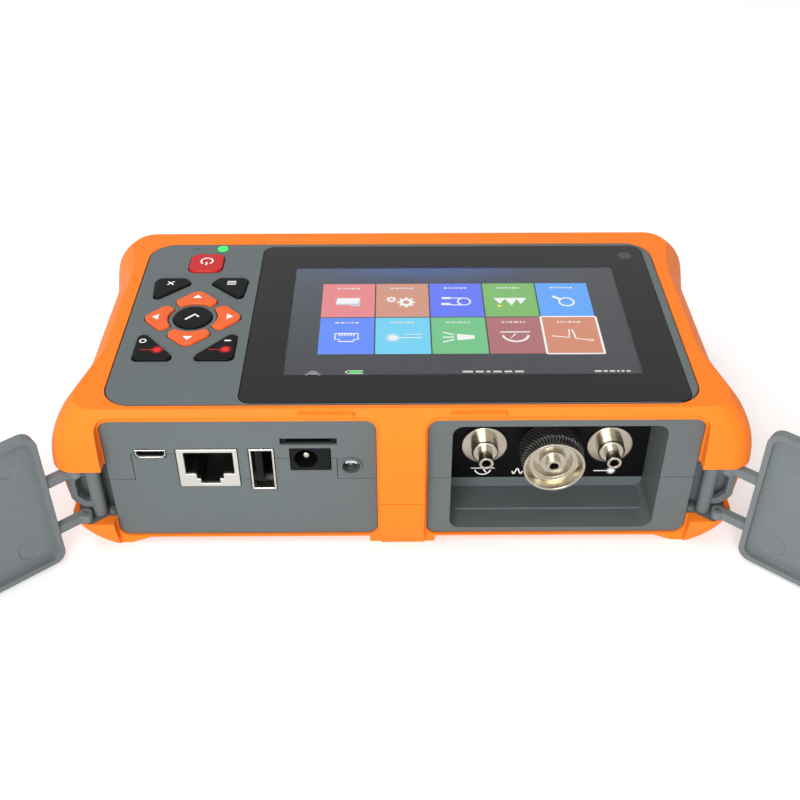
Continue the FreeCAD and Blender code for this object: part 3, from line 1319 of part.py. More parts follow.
# ---------------------------------------------------------------- back
def battery_cover():
    """Cover flush with the casing's back, with a sunk seat for each of its screws."""
    cover = rounded_block(
        COVER_X, COVER_Y, (BACK_RELIEF + FIT_GAP, COVER_SEAT), COVER_R - COVER_GAP, Z_AXIS)
    holes = []
    for x, y in cover_screw_places():
        foot = Vector(x, y, 0)
        holes.append(rod(foot, Z_AXIS, SCREW_HEAD_R + FIT_GAP, COVER_SEAT - COVER_SCREW_SEAT))
        holes.append(rod(foot, Z_AXIS, SCREW_R + FIT_GAP, COVER_SEAT + OVERCUT))
    return cover.cut(Part.makeCompound(holes))


def cover_screws():
    """Slotted screws of the battery cover."""
    low = BACK_RELIEF + FIT_GAP
    seat = COVER_SEAT - COVER_SCREW_SEAT
    reach = SCREW_HEAD_R * SCREW_SLOT_SHARE
    screws = []
    for x, y in cover_screw_places():
        head = rod(Vector(x, y, low), Z_AXIS, SCREW_HEAD_R - FIT_GAP, seat - low)
        shank = rod(Vector(x, y, seat), Z_AXIS, SCREW_R - FIT_GAP, COVER_SCREW_LONG)
        slot = block(
            (x - reach, x + reach), (y - SCREW_SLOT / 2, y + SCREW_SLOT / 2),
            (0, (low + seat) / 2))
        screws.append(fuse(head, [shank]).cut(slot))
    return Part.makeCompound(screws)


def stand():
    """Folding stand, as it lies in its pocket, with a finger notch in its free end."""
    low = BACK_RELIEF + FIT_GAP
    leaf = block(STAND_X, (STAND_Y[0], STAND_PIN_Y), (low, low + STAND_THICK))
    free = [edge for edge in edges_along(leaf, Z_AXIS) if edge.BoundBox.YMax < STAND_PIN_Y - STAND_R]
    leaf = leaf.makeFillet(STAND_R, free)
    barrel = rod(
        Vector(STAND_X[0], STAND_PIN_Y, STAND_PIN_Z), X_AXIS, STAND_THICK / 2,
        STAND_X[1] - STAND_X[0])
    notch = rod(Vector(sum(STAND_X) / 2, STAND_Y[0], 0), Z_AXIS, STAND_NOTCH_R, BODY_TOP)
    opening = rounded_block(
        grow(STAND_X, -STAND_BAR), (STAND_Y[0] + 2 * STAND_BAR, STAND_Y[1] - STAND_BAR),
        (0, BODY_TOP), STAND_R, Z_AXIS)
    leaf = fuse(leaf, [barrel]).cut(Part.makeCompound([notch, opening]))
    return largest(leaf.cut(stand_pin(STAND_RUN)))


# ---------------------------------------------------------------- all pieces
def pieces():
    """Every sub-part by name, with the doors open."""
    shell = whole_casing()
    jacket = whole_jacket()
    lower_pin, upper_pin, loop_pin = hinge_pins()
    door_pins = Part.makeCompound([lower_pin, upper_pin])
    loop = strap_loop()
    door = open_door()
    made = {
        "jacket_upper": jacket_upper(jacket),
        "jacket_lower": jacket_lower(jacket),
        "casing_upper": casing_upper(shell),
        "casing_lower": casing_lower(shell),
        "bay_tub": bay_tub(),
        "touch_glass": touch_glass(),
        "glass_adhesive": glass_adhesive(),
        "lcd_panel": lcd_panel(),
        "display_cable": display_cable(),
        "keypad_mat": keypad_mat(),
        "key_board": key_board(),
        "status_light": status_light(),
        "main_board": main_board(),
        "ethernet_jack": ethernet_jack(),
        "ethernet_contacts": ethernet_contacts(),
        "usb_a_port": usb_a_port(),
        "usb_a_tongue": usb_a_tongue(),
        "micro_usb_port": micro_usb_port(),
        "card_reader": card_reader(),
        "power_jack": power_jack(),
        "power_jack_pin": power_jack_pin(),
        "torch_led": torch_led(),
        "connector_plate": connector_plate(),
        "power_meter_port": small_port(METER_X),
        "fault_laser_port": small_port(LASER_X),
        "fibre_port": fibre_port(),
        "ferrule_sleeve": ferrule_sleeve(),
        "knurled_nut": knurled_nut(),
        "optics_module": optics_module(),
        "fibre_spool": fibre_spool(),
        "fault_laser": optic_rod(LASER_X, LASER_R, LASER_LONG),
        "power_detector": optic_rod(METER_X, DETECTOR_R, DETECTOR_LONG),
        "speaker": speaker(),
        "battery_pack": battery_pack(),
        "battery_cover": battery_cover(),
        "battery_cover_screws": cover_screws(),
        "case_screws": case_screws(),
        "board_screws": board_screws(),
        "stand": stand(),
        "stand_pin": stand_pin(0),
        "door_right": door,
        "door_left": mirrored(door),
        "door_pins_right": door_pins,
        "door_pins_left": mirrored(door_pins),
        "strap_loop_right": loop,
        "strap_loop_left": mirrored(loop),
        "strap_loop_pins": Part.makeCompound(both_sides(loop_pin)),
    }
    for name in KEY_NAMES:
        made[name] = key(name)
    return made


def main():
    os.makedirs("parts", exist_ok=True)
    for name, shape in pieces().items():
        print(name, len(shape.Solids), "solids,", round(shape.Volume), "mm3, valid", shape.isValid())
        shape.exportStep(f"parts/{name}.step")


main()
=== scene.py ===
# %% [markdown]
# A hand-held fibre tester lies on its back on a white table, with both front doors swung open.
# The construction comes in finished as a fixed frame, so this lesson only dresses it: the finish
# of every surface, the lit picture on the screen, and the printed marks. Lengths are in metres.
# Places come from the frame's own boxes, or are named values beside what they place.

# %% Load the frame
import json
import math
import bpy
import numpy as np
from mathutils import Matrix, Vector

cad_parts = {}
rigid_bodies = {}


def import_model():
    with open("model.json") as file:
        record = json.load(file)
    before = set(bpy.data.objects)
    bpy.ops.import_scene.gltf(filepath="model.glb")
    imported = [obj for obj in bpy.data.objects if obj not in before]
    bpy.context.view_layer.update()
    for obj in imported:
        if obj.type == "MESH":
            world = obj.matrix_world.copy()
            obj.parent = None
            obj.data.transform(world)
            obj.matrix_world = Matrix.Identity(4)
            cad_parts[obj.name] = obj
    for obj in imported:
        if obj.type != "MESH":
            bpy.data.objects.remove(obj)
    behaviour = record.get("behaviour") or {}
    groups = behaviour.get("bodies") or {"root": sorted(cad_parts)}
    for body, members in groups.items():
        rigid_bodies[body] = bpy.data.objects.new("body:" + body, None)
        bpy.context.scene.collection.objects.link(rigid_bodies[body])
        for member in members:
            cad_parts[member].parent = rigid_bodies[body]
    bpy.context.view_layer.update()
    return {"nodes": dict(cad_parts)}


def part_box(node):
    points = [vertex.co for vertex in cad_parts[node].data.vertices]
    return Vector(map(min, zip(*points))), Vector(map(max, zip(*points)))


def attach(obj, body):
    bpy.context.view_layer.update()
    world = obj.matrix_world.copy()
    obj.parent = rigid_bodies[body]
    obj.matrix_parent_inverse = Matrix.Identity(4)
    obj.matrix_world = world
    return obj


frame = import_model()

nodes = frame["nodes"]
MM = 0.001

# %% [markdown]
# The camera looks down at the connector end from a third of a metre away, with a normal lens, so
# the near end looks a little larger. Its place and tilt come first, because everything else is
# judged through it.

# %% Camera
CAMERA_PLACE = (-0.0018, -0.2595, 0.2178)
CAMERA_TILT = (51.776, 0.05, -0.367)
FOCAL_LENGTH = 48.42
SENSOR_WIDTH = 36.0

camera_data = bpy.data.cameras.new("camera")
camera_data.lens = FOCAL_LENGTH
camera_data.sensor_width = SENSOR_WIDTH
camera = bpy.data.objects.new("camera", camera_data)
camera.location = CAMERA_PLACE
camera.rotation_euler = [math.radians(angle) for angle in CAMERA_TILT]
bpy.context.scene.collection.objects.link(camera)
bpy.context.scene.camera = camera
print("camera at", CAMERA_PLACE)

# %% [markdown]
# A studio for a small product is a white sweep and large soft lamps. One wide lamp hangs
# over the table, a second fills from the front, and the world gives an even glow, so shadows stay
# pale. Where the camera looks past the table it sees plain white.

# %% Studio
def area_lamp(name, place, target, size, power):
    """Square soft lamp at a place, turned to face a target."""
    data = bpy.data.lights.new(name, "AREA")
    data.energy = power
    data.size = size
    lamp = bpy.data.objects.new(name, data)
    lamp.location = place
    aim = np.array(target) - np.array(place)
    lamp.rotation_euler = (
        math.acos(-aim[2] / np.linalg.norm(aim)), 0.0, math.atan2(aim[1], aim[0]) - math.pi / 2)
    bpy.context.scene.collection.objects.link(lamp)


def studio_world(strength, seen):
    """World with an even glow of one strength, and another that the camera and mirrors see."""
    world = bpy.data.worlds.new("studio")
    world.use_nodes = True
    tree = world.node_tree
    glow = tree.nodes["Background"]
    path = tree.nodes.new("ShaderNodeLightPath")
    seen_by = None
    for ray in ("Is Camera Ray", "Is Glossy Ray", "Is Transmission Ray"):
        either = tree.nodes.new("ShaderNodeMath")
        either.operation = "MAXIMUM"
        tree.links.new(path.outputs[ray], either.inputs[0])
        if seen_by is None:
            either.inputs[1].default_value = 0.0
        else:
            tree.links.new(seen_by, either.inputs[1])
        seen_by = either.outputs[0]
    level = tree.nodes.new("ShaderNodeMapRange")
    level.inputs["To Min"].default_value = strength
    level.inputs["To Max"].default_value = seen
    glow.inputs["Color"].default_value = (1.0, 1.0, 1.0, 1.0)
    tree.links.new(seen_by, level.inputs["Value"])
    tree.links.new(level.outputs["Result"], glow.inputs["Strength"])
    bpy.context.scene.world = world


GLOW = 0.45
SEEN_WHITE = 1.0
LAMP_SIZE = 0.7
LAMPS = {
    "lamp_over": ((-0.35, 0.0, 1.1), (0.0, 0.0, 0.0), 5.0),
    "lamp_front": ((-0.25, -1.1, 0.55), (0.0, 0.0, 0.02), 15.0),
}
studio_world(GLOW, SEEN_WHITE)
for name, (place, target, power) in LAMPS.items():
    area_lamp(name, place, target, LAMP_SIZE, power)
bpy.context.scene.view_settings.view_transform = "Standard"
print("lamps", list(LAMPS))

# %% [markdown]
# Real surfaces differ a little from place to place: moulded plastic has a spark-eroded grain,
# its gloss has faint patches, and its edges are rounded by a hair and rubbed lighter, where the
# lighter colour is partly wear and partly a painted highlight. These three effects turn up in
# almost every finish, so each is a node group that is made once.

# %% Node group helpers
def new_group(name, inputs, outputs):
    """Empty shader group: inputs as (name, kind, value), outputs as (name, kind)."""
    group = bpy.data.node_groups.new(name, "ShaderNodeTree")
    for label, kind, value in inputs:
        socket = group.interface.new_socket(
            name=label, in_out="INPUT", socket_type="NodeSocket" + kind)
        if value is not None:
            socket.default_value = value
    for label, kind in outputs:
        group.interface.new_socket(name=label, in_out="OUTPUT", socket_type="NodeSocket" + kind)
    source = group.nodes.new("NodeGroupInput")
    sink = group.nodes.new("NodeGroupOutput")
    return group, source.outputs, sink.inputs


def math_node(tree, operation, first, second=0.0, third=0.0):
    """Maths node whose operands are sockets or plain numbers; gives its output socket."""
    node = tree.nodes.new("ShaderNodeMath")
    node.operation = operation
    for slot, operand in enumerate((first, second, third)):
        if isinstance(operand, (int, float)):
            node.inputs[slot].default_value = operand
        else:
            tree.links.new(operand, node.inputs[slot])
    return node.outputs[0]


def noise_node(tree, place, scale, detail=2.0):
    """Noise of a size given by a scale socket or number; gives its factor socket."""
    node = tree.nodes.new("ShaderNodeTexNoise")
    node.inputs["Detail"].default_value = detail
    tree.links.new(place, node.inputs["Vector"])
    if isinstance(scale, (int, float)):
        node.inputs["Scale"].default_value = scale
    else:
        tree.links.new(scale, node.inputs["Scale"])
    return node.outputs["Fac"]


def mix_colors(tree, share, first, second, blend="MIX"):
    """Mix of two colours, each a socket or a tuple, by a share socket or number."""
    node = tree.nodes.new("ShaderNodeMix")
    node.data_type = "RGBA"
    node.blend_type = blend
    for label, value in (("Factor_Float", share), ("A_Color", first), ("B_Color", second)):
        socket = next(item for item in node.inputs if item.identifier == label)
        if isinstance(value, (int, float, tuple)):
            socket.default_value = value
        else:
            tree.links.new(value, socket)
    return next(item for item in node.outputs if item.identifier == "Result_Color")


print("node helpers ready")

# %% [markdown]
# The grain comes from the tool's steel, which is eroded by sparks, so it is fine noise with a
# coarser one below it. Handling leaves patches about as wide as a thumb, and specks of a
# millimetre. Edges get both a softer normal and a mask, because light shows an edge before colour
# does; the mask lightens the edge as wear and as a painted highlight. Noise scales count noise
# cells to the metre.

# %% Grain, tone and edge groups
COARSE_SCALE = 0.31
PATCH_SCALE = 38.0
SPECK_SCALE = 900.0
SPECK_SHARE = 0.6
TONE_MIDDLE = 0.8
SMEAR_SCALE = 95.0
EDGE_RADIUS = 0.00035
# Noise over the edge mask, which paints rubbed wear and a highlight on edges.
WEAR_AND_HIGHLIGHT_SCALE = 420.0


def grain_group():
    """Height of a moulded grain: fine noise of one size, with half as much of a coarser one."""
    group, given, result = new_group(
        "moulded_grain",
        [("Place", "Vector", None), ("Grain Size", "Float", 0.0003), ("Depth", "Float", 1.0)],
        [("Height", "Float")])
    scale = math_node(group, "DIVIDE", 1.0, given["Grain Size"])
    coarse_scale = math_node(group, "MULTIPLY", scale, COARSE_SCALE)
    fine = noise_node(group, given["Place"], scale, 3.0)
    coarse = noise_node(group, given["Place"], coarse_scale, 1.0)
    height = math_node(group, "MULTIPLY_ADD", coarse, 0.5, fine)
    group.links.new(math_node(group, "MULTIPLY", height, given["Depth"]), result["Height"])
    return group


def tone_group():
    """Colour and roughness with faint patches of a thumb's size and fine specks."""
    group, given, result = new_group(
        "handled_tone",
        [("Place", "Vector", None), ("Color", "Color", (0.5, 0.5, 0.5, 1.0)),
         ("Shade", "Float", 0.06), ("Roughness", "Float", 0.5), ("Spread", "Float", 0.08)],
        [("Color", "Color"), ("Roughness", "Float")])
    patches = noise_node(group, given["Place"], PATCH_SCALE, 4.0)
    specks = noise_node(group, given["Place"], SPECK_SCALE, 2.0)
    both = math_node(group, "MULTIPLY_ADD", specks, SPECK_SHARE, patches)
    level = math_node(group, "MULTIPLY_ADD", both, given["Shade"], 1.0)
    level = math_node(group, "MULTIPLY_ADD", given["Shade"], -TONE_MIDDLE, level)
    grey = group.nodes.new("ShaderNodeCombineXYZ")
    for axis in range(3):
        group.links.new(level, grey.inputs[axis])
    tinted = group.nodes.new("ShaderNodeVectorMath")
    tinted.operation = "MULTIPLY"
    group.links.new(given["Color"], tinted.inputs[0])
    group.links.new(grey.outputs[0], tinted.inputs[1])
    group.links.new(tinted.outputs[0], result["Color"])
    smears = noise_node(group, given["Place"], SMEAR_SCALE, 5.0)
    centred = math_node(group, "SUBTRACT", smears, 0.5)
    rough = math_node(group, "MULTIPLY_ADD", centred, given["Spread"], given["Roughness"])
    group.links.new(rough, result["Roughness"])
    return group


def edge_group():
    """Softened edge normal, and a mask of rubbed wear and painted highlight, broken up by noise.
    """
    group, given, result = new_group(
        "rubbed_edge_and_highlight",
        [("Place", "Vector", None), ("Amount", "Float", 1.0)],
        [("Normal", "Vector"), ("Edge", "Float")])
    bevel = group.nodes.new("ShaderNodeBevel")
    bevel.samples = 4
    bevel.inputs["Radius"].default_value = EDGE_RADIUS
    shape = group.nodes.new("ShaderNodeNewGeometry")
    across = group.nodes.new("ShaderNodeVectorMath")
    across.operation = "DOT_PRODUCT"
    group.links.new(bevel.outputs["Normal"], across.inputs[0])
    group.links.new(shape.outputs["Normal"], across.inputs[1])
    # The mask lightens edges, partly as rubbed wear and partly as a painted highlight.
    turned = math_node(group, "SUBTRACT", 1.0, across.outputs["Value"])
    patchy = noise_node(group, given["Place"], WEAR_AND_HIGHLIGHT_SCALE, 4.0)
    worn_and_highlit = math_node(group, "MULTIPLY", turned, patchy)
    mask = math_node(group, "MULTIPLY", worn_and_highlit, given["Amount"])
    capped = math_node(group, "MINIMUM", mask, 1.0)
    group.links.new(bevel.outputs["Normal"], result["Normal"])
    group.links.new(capped, result["Edge"])
    return group


GRAIN = grain_group()
TONE = tone_group()
EDGE = edge_group()
print("groups", [group.name for group in bpy.data.node_groups])

# %% [markdown]
# A finish is a material that is put together from the groups. Rubber and moulded plastic share
# one recipe and differ only in their numbers: a tone for the colour, a worn edge with a painted
# highlight, and the grain as the height of a bump. The table gives each finish its colour, its
# roughness, the size and depth of its grain, and where they differ from the usual, its shade,
# worn and highlighted edge and gloss.

# %% Material helpers
def srgb(red, green, blue):
    """Linear colour of a colour that is named by its 0 to 255 screen values."""
    shares = np.array([red, green, blue]) / 255.0
    linear = np.where(shares <= 0.04045, shares / 12.92, ((shares + 0.055) / 1.055) ** 2.4)
    return (*linear.tolist(), 1.0)


def new_material(name):
    """Material with its node tree, its shader and its object coordinates."""
    material = bpy.data.materials.new(name)
    material.use_nodes = True
    tree = material.node_tree
    shader = tree.nodes["Principled BSDF"]
    place = tree.nodes.new("ShaderNodeTexCoord").outputs["Object"]
    return material, tree, shader, place


def add_group(tree, group, place, **values):
    """Group placed in a material's tree, with its values by input name."""
    node = tree.nodes.new("ShaderNodeGroup")
    node.node_tree = group
    tree.links.new(place, node.inputs["Place"])
    for label, value in values.items():
        node.inputs[label.replace("_", " ")].default_value = value
    return node


def bump_node(tree, height, distance, normal=None):
    """Bump over a height socket, on top of another normal; gives its normal socket."""
    node = tree.nodes.new("ShaderNodeBump")
    node.inputs["Distance"].default_value = distance
    tree.links.new(height, node.inputs["Height"])
    if normal is not None:
        tree.links.new(normal, node.inputs["Normal"])
    return node.outputs["Normal"]


def moulded(name, color, roughness, grain, depth, shade=0.08, rubbed=0.5, lift=1.35, gloss=0.2):
    """Moulded plastic or rubber: toned colour, edges paler by wear and painted highlight, and a
    fine grain.
    """
    material, tree, shader, place = new_material(name)
    shader.inputs["Specular IOR Level"].default_value = gloss
    plain = srgb(*color)
    tone = add_group(tree, TONE, place, Color=plain, Shade=shade, Roughness=roughness, Spread=0.12)
    edge = add_group(tree, EDGE, place, Amount=rubbed)
    pebbles = add_group(tree, GRAIN, place, Grain_Size=grain, Depth=1.0)
    # Edges are mixed towards this paler colour: rubbed wear and a painted highlight.
    pale_wear_highlight = tuple(min(1.0, channel * lift + 0.01) for channel in plain[:3]) + (1.0,)
    worn_and_highlit = mix_colors(tree, edge.outputs["Edge"], tone.outputs["Color"], pale_wear_highlight)
    normal = bump_node(tree, pebbles.outputs["Height"], depth, edge.outputs["Normal"])
    tree.links.new(worn_and_highlit, shader.inputs["Base Color"])
    tree.links.new(tone.outputs["Roughness"], shader.inputs["Roughness"])
    tree.links.new(normal, shader.inputs["Normal"])
    return material


# rubbed and lift set how strongly and how much lighter the edges are painted: wear with a painted
# highlight.
MOULDED = {
    "rubber_orange": dict(
        color=(249, 125, 36), roughness=0.46, grain=0.00045, depth=0.00003, shade=0.07, lift=1.2,
        gloss=0.12),
    "casing_grey": dict(
        color=(95, 102, 103), roughness=0.5, grain=0.00035, depth=0.00002, rubbed=0.7),
    "door_grey": dict(
        color=(107, 114, 115), roughness=0.42, grain=0.0004, depth=0.000025, shade=0.14,
        rubbed=1.6, lift=1.8, gloss=0.35),
    "loop_grey": dict(
        color=(100, 106, 108), roughness=0.45, grain=0.0004, depth=0.00002, rubbed=0.9, lift=1.5,
        gloss=0.3),
    "key_red": dict(
        color=(190, 28, 26), roughness=0.34, grain=0.0003, depth=0.000008, shade=0.05, rubbed=0.6),
    "key_orange": dict(
        color=(228, 97, 44), roughness=0.36, grain=0.0003, depth=0.000008, shade=0.05, lift=1.2),
    "key_black": dict(
        color=(19, 20, 22), roughness=0.32, grain=0.0003, depth=0.000008, shade=0.1, rubbed=0.6,
        lift=2.0, gloss=0.06),
    "black_plastic": dict(
        color=(18, 19, 20), roughness=0.38, grain=0.0003, depth=0.000012, shade=0.1, lift=2.0,
        gloss=0.12),
    "silicone_grey": dict(color=(150, 152, 152), roughness=0.6, grain=0.0005, depth=0.00002),
    "adhesive_black": dict(color=(20, 20, 20), roughness=0.8, grain=0.0005, depth=0.00003),
    "board_green": dict(
        color=(20, 92, 50), roughness=0.35, grain=0.0008, depth=0.000015, shade=0.2),
    "battery_wrap": dict(
        color=(30, 80, 170), roughness=0.25, grain=0.002, depth=0.00004, shade=0.1),
    "flex_amber": dict(
        color=(190, 120, 40), roughness=0.3, grain=0.0006, depth=0.00001, shade=0.15),
    "fibre_yellow": dict(
        color=(230, 210, 110), roughness=0.35, grain=0.00025, depth=0.00006, shade=0.15),
    "plate_black": dict(
        color=(14, 14, 16), roughness=0.35, grain=0.0003, depth=0.00001, shade=0.15, rubbed=0.4,
        lift=2.0, gloss=0.08),
    "display": dict(color=(40, 42, 46), roughness=0.4, grain=0.0003, depth=0.000004),
}
MATERIALS = {name: moulded(name, **numbers) for name, numbers in MOULDED.items()}
print("moulded finishes", len(MATERIALS))

# %% [markdown]
# Nickel-plated brass shows the tool that turned it: fine rings about the axis, a warm tint, and
# soft handling marks. Sheet shells are smoother. The rings are a sine of the distance along the
# axis and away from it, which needs no picture.

# %% Metal finishes
RUB_SCALE = 260.0
RUB_SPREAD = 0.14
DULL_SHARE = 0.65


def marks_group():
    """Turning marks: sine of the reach from an axis along Y plus the way along it, and smears."""
    group, given, result = new_group(
        "turning_marks",
        [("Place", "Vector", None), ("Centre", "Vector", (0.0, 0.0, 0.0)),
         ("Pitch", "Float", 0.00008)],
        [("Height", "Float"), ("Smear", "Float")])
    offset = group.nodes.new("ShaderNodeVectorMath")
    offset.operation = "SUBTRACT"
    group.links.new(given["Place"], offset.inputs[0])
    group.links.new(given["Centre"], offset.inputs[1])
    parts = group.nodes.new("ShaderNodeSeparateXYZ")
    group.links.new(offset.outputs[0], parts.inputs[0])
    across = math_node(group, "POWER", parts.outputs["X"], 2.0)
    reach = math_node(group, "SQRT", math_node(
        group, "ADD", across, math_node(group, "POWER", parts.outputs["Z"], 2.0)))
    path = math_node(group, "ADD", reach, parts.outputs["Y"])
    turns = math_node(group, "DIVIDE", path, given["Pitch"])
    group.links.new(math_node(group, "SINE", turns), result["Height"])
    group.links.new(noise_node(group, given["Place"], RUB_SCALE, 5.0), result["Smear"])
    return group


MARKS = marks_group()


def plated(name, color, roughness, centre, pitch, depth):
    """Bright plated metal with turning marks about an axis."""
    material, tree, shader, place = new_material(name)
    shader.inputs["Metallic"].default_value = 1.0
    marks = add_group(tree, MARKS, place, Pitch=pitch)
    marks.inputs["Centre"].default_value = centre
    edge = add_group(tree, EDGE, place, Amount=0.4)
    dull = tuple(channel * DULL_SHARE for channel in color[:3]) + (1.0,)
    rubbed = mix_colors(tree, marks.outputs["Smear"], color, dull)
    tree.links.new(rubbed, shader.inputs["Base Color"])
    rough = math_node(
        tree, "MULTIPLY_ADD", marks.outputs["Smear"], RUB_SPREAD, roughness - RUB_SPREAD / 2)
    tree.links.new(rough, shader.inputs["Roughness"])
    normal = bump_node(tree, marks.outputs["Height"], depth, edge.outputs["Normal"])
    tree.links.new(normal, shader.inputs["Normal"])
    return material


def middle_of(name):
    """Middle of a node's box at rest."""
    low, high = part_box(name)
    return (np.array(low) + np.array(high)) / 2


NICKEL = srgb(222, 214, 196)
TURNED_NODES = (
    "fibre_port", "power_meter_port", "fault_laser_port", "ferrule_sleeve", "power_jack_pin")
ORIGIN = (0.0, 0.0, 0.0)
PORT_METAL = {
    name: plated("nickel_" + name, NICKEL, 0.2, tuple(middle_of(name)), 0.00006, 0.0000015)
    for name in TURNED_NODES}
METALS = {
    "nickel_shell": ((222, 221, 216), 0.3, (0.0, 0.0, -0.2), 0.00012, 0.0000008),
    "screw_steel": ((170, 170, 172), 0.34, ORIGIN, 0.00012, 0.000002),
    "brass_can": ((200, 170, 95), 0.3, ORIGIN, 0.0001, 0.000001),
    "gold_contact": ((235, 195, 105), 0.2, ORIGIN, 0.0001, 0.0000005),
}
for name, (color, roughness, centre, pitch, depth) in METALS.items():
    MATERIALS[name] = plated(name, srgb(*color), roughness, centre, pitch, depth)
print("metals", len(PORT_METAL) + len(METALS))

# %% [markdown]
# The big nut is black anodised, and its grip is knurled: fine slanting ridges that are rolled
# into it, whose tops are rubbed pale and carry a painted glint. The ridges are a sine of the turn
# about the nut's axis, with a lean along it, which is how a knurling wheel leaves them.

# %% Knurled nut
RIDGE_WEAR_GLINT_SCALE = 350.0
RIDGE_DEPTH = 0.00012


def knurl_group():
    """Slanting ridges about an axis along Y: sine of the turn times a count, plus a lean."""
    group, given, result = new_group(
        "knurl",
        [("Place", "Vector", None), ("Centre", "Vector", (0.0, 0.0, 0.0)),
         ("Count", "Float", 54.0), ("Lean", "Float", 4200.0)],
        [("Height", "Float"), ("Crest", "Float")])
    offset = group.nodes.new("ShaderNodeVectorMath")
    offset.operation = "SUBTRACT"
    group.links.new(given["Place"], offset.inputs[0])
    group.links.new(given["Centre"], offset.inputs[1])
    parts = group.nodes.new("ShaderNodeSeparateXYZ")
    group.links.new(offset.outputs[0], parts.inputs[0])
    turn = math_node(group, "ARCTAN2", parts.outputs["X"], parts.outputs["Z"])
    lean = math_node(group, "MULTIPLY", parts.outputs["Y"], given["Lean"])
    wave = math_node(group, "SINE", math_node(group, "MULTIPLY_ADD", turn, given["Count"], lean))
    # Crest marks the ridge tops that are painted pale: rubbed wear with a painted glint.
    top = math_node(group, "POWER", math_node(group, "MAXIMUM", wave, 0.0), 4.0)
    patchy = noise_node(group, given["Place"], RIDGE_WEAR_GLINT_SCALE, 3.0)
    worn_and_highlit = math_node(group, "MULTIPLY", top, patchy)
    group.links.new(wave, result["Height"])
    group.links.new(worn_and_highlit, result["Crest"])
    return group


def knurled(name, node, dark, pale_wear_highlight):
    """Black metal whose ridge tops and edges are rubbed pale with a painted glint, about a node's
    axis.
    """
    material, tree, shader, place = new_material(name)
    shader.inputs["Specular IOR Level"].default_value = 0.5
    knurl = add_group(tree, knurl_group(), place)
    knurl.inputs["Centre"].default_value = tuple(middle_of(node))
    tone = add_group(tree, TONE, place, Color=dark, Shade=0.15, Roughness=0.3, Spread=0.15)
    edge = add_group(tree, EDGE, place, Amount=1.6)
    ridged = mix_colors(tree, knurl.outputs["Crest"], tone.outputs["Color"], pale_wear_highlight)
    worn_and_highlit = mix_colors(tree, edge.outputs["Edge"], ridged, pale_wear_highlight)
    normal = bump_node(tree, knurl.outputs["Height"], RIDGE_DEPTH, edge.outputs["Normal"])
    tree.links.new(worn_and_highlit, shader.inputs["Base Color"])
    tree.links.new(tone.outputs["Roughness"], shader.inputs["Roughness"])
    tree.links.new(normal, shader.inputs["Normal"])
    return material


# The pale colour is rubbed metal together with a painted glint on the ridges and edges.
MATERIALS["nut_black"] = knurled(
    "nut_black", "knurled_nut", srgb(17, 17, 18), srgb(150, 148, 142))
print("knurled finish ready")

# %% [markdown]
# A network socket is a sheet shell round a black plastic insert. Both are one solid here, so the
# finish tells them apart by depth: bright metal on the face, black plastic further in. In the
# USB-A socket the dark comes in over a long fade, which also paints shade on the shell's walls
# deeper in.

# %% Shells with a dark inside
def depth_group():
    """Mask that goes from 0 at a socket's face to 1 a little way in along Y."""
    group, given, result = new_group(
        "socket_depth",
        [("Place", "Vector", None), ("Face", "Float", 0.0), ("Fade", "Float", 0.0004)],
        [("Inside", "Float"), ("Outside", "Float")])
    parts = group.nodes.new("ShaderNodeSeparateXYZ")
    group.links.new(given["Place"], parts.inputs[0])
    step = group.nodes.new("ShaderNodeMapRange")
    step.interpolation_type = "SMOOTHSTEP"
    group.links.new(parts.outputs["Y"], step.inputs["Value"])
    group.links.new(given["Face"], step.inputs["From Min"])
    far = math_node(group, "ADD", given["Face"], given["Fade"])
    group.links.new(far, step.inputs["From Max"])
    group.links.new(step.outputs["Result"], result["Inside"])
    group.links.new(math_node(group, "SUBTRACT", 1.0, step.outputs["Result"]), result["Outside"])
    return group


DEPTH = depth_group()
SHELL_BRIGHT = srgb(222, 221, 214)
SHELL_DARK = srgb(24, 24, 25)


def socket_shell(node, start, fade):
    """Plated face and black inside, split at a depth behind the node's own face."""
    material, tree, shader, place = new_material("shell_" + node)
    split = add_group(tree, DEPTH, place, Face=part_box(node)[0][1] + start, Fade=fade)
    tone = add_group(tree, TONE, place, Color=SHELL_BRIGHT, Shade=0.1, Roughness=0.3, Spread=0.2)
    edge = add_group(tree, EDGE, place, Amount=0.4)
    color = mix_colors(tree, split.outputs["Inside"], tone.outputs["Color"], SHELL_DARK)
    tree.links.new(color, shader.inputs["Base Color"])
    tree.links.new(split.outputs["Outside"], shader.inputs["Metallic"])
    tree.links.new(tone.outputs["Roughness"], shader.inputs["Roughness"])
    grain = add_group(tree, GRAIN, place, Grain_Size=0.0002, Depth=1.0)
    normal = bump_node(tree, grain.outputs["Height"], 0.000002, edge.outputs["Normal"])
    tree.links.new(normal, shader.inputs["Normal"])
    return material


# The USB-A split starts deeper and fades over 4 mm, so its dark inside is partly black plastic and
# partly painted shade.
SPLITS = {
    "ethernet_jack": (0.0006, 0.0003), "micro_usb_port": (0.0004, 0.0004),
    "usb_a_port": (0.0025, 0.004)}
SOCKETS = {name: socket_shell(name, start, fade) for name, (start, fade) in SPLITS.items()}
print("socket shells", list(SOCKETS))

# %% [markdown]
# The touch glass is clear, with faint smears, and the lit picture shines through it. The light
# guide of the status light glows green, and the work light sits behind a small clear lens.

# %% Clear and glowing finishes
WIPE_SCALE = 45.0
GLASS_INDEX = 1.3
LENS_INDEX = 1.46


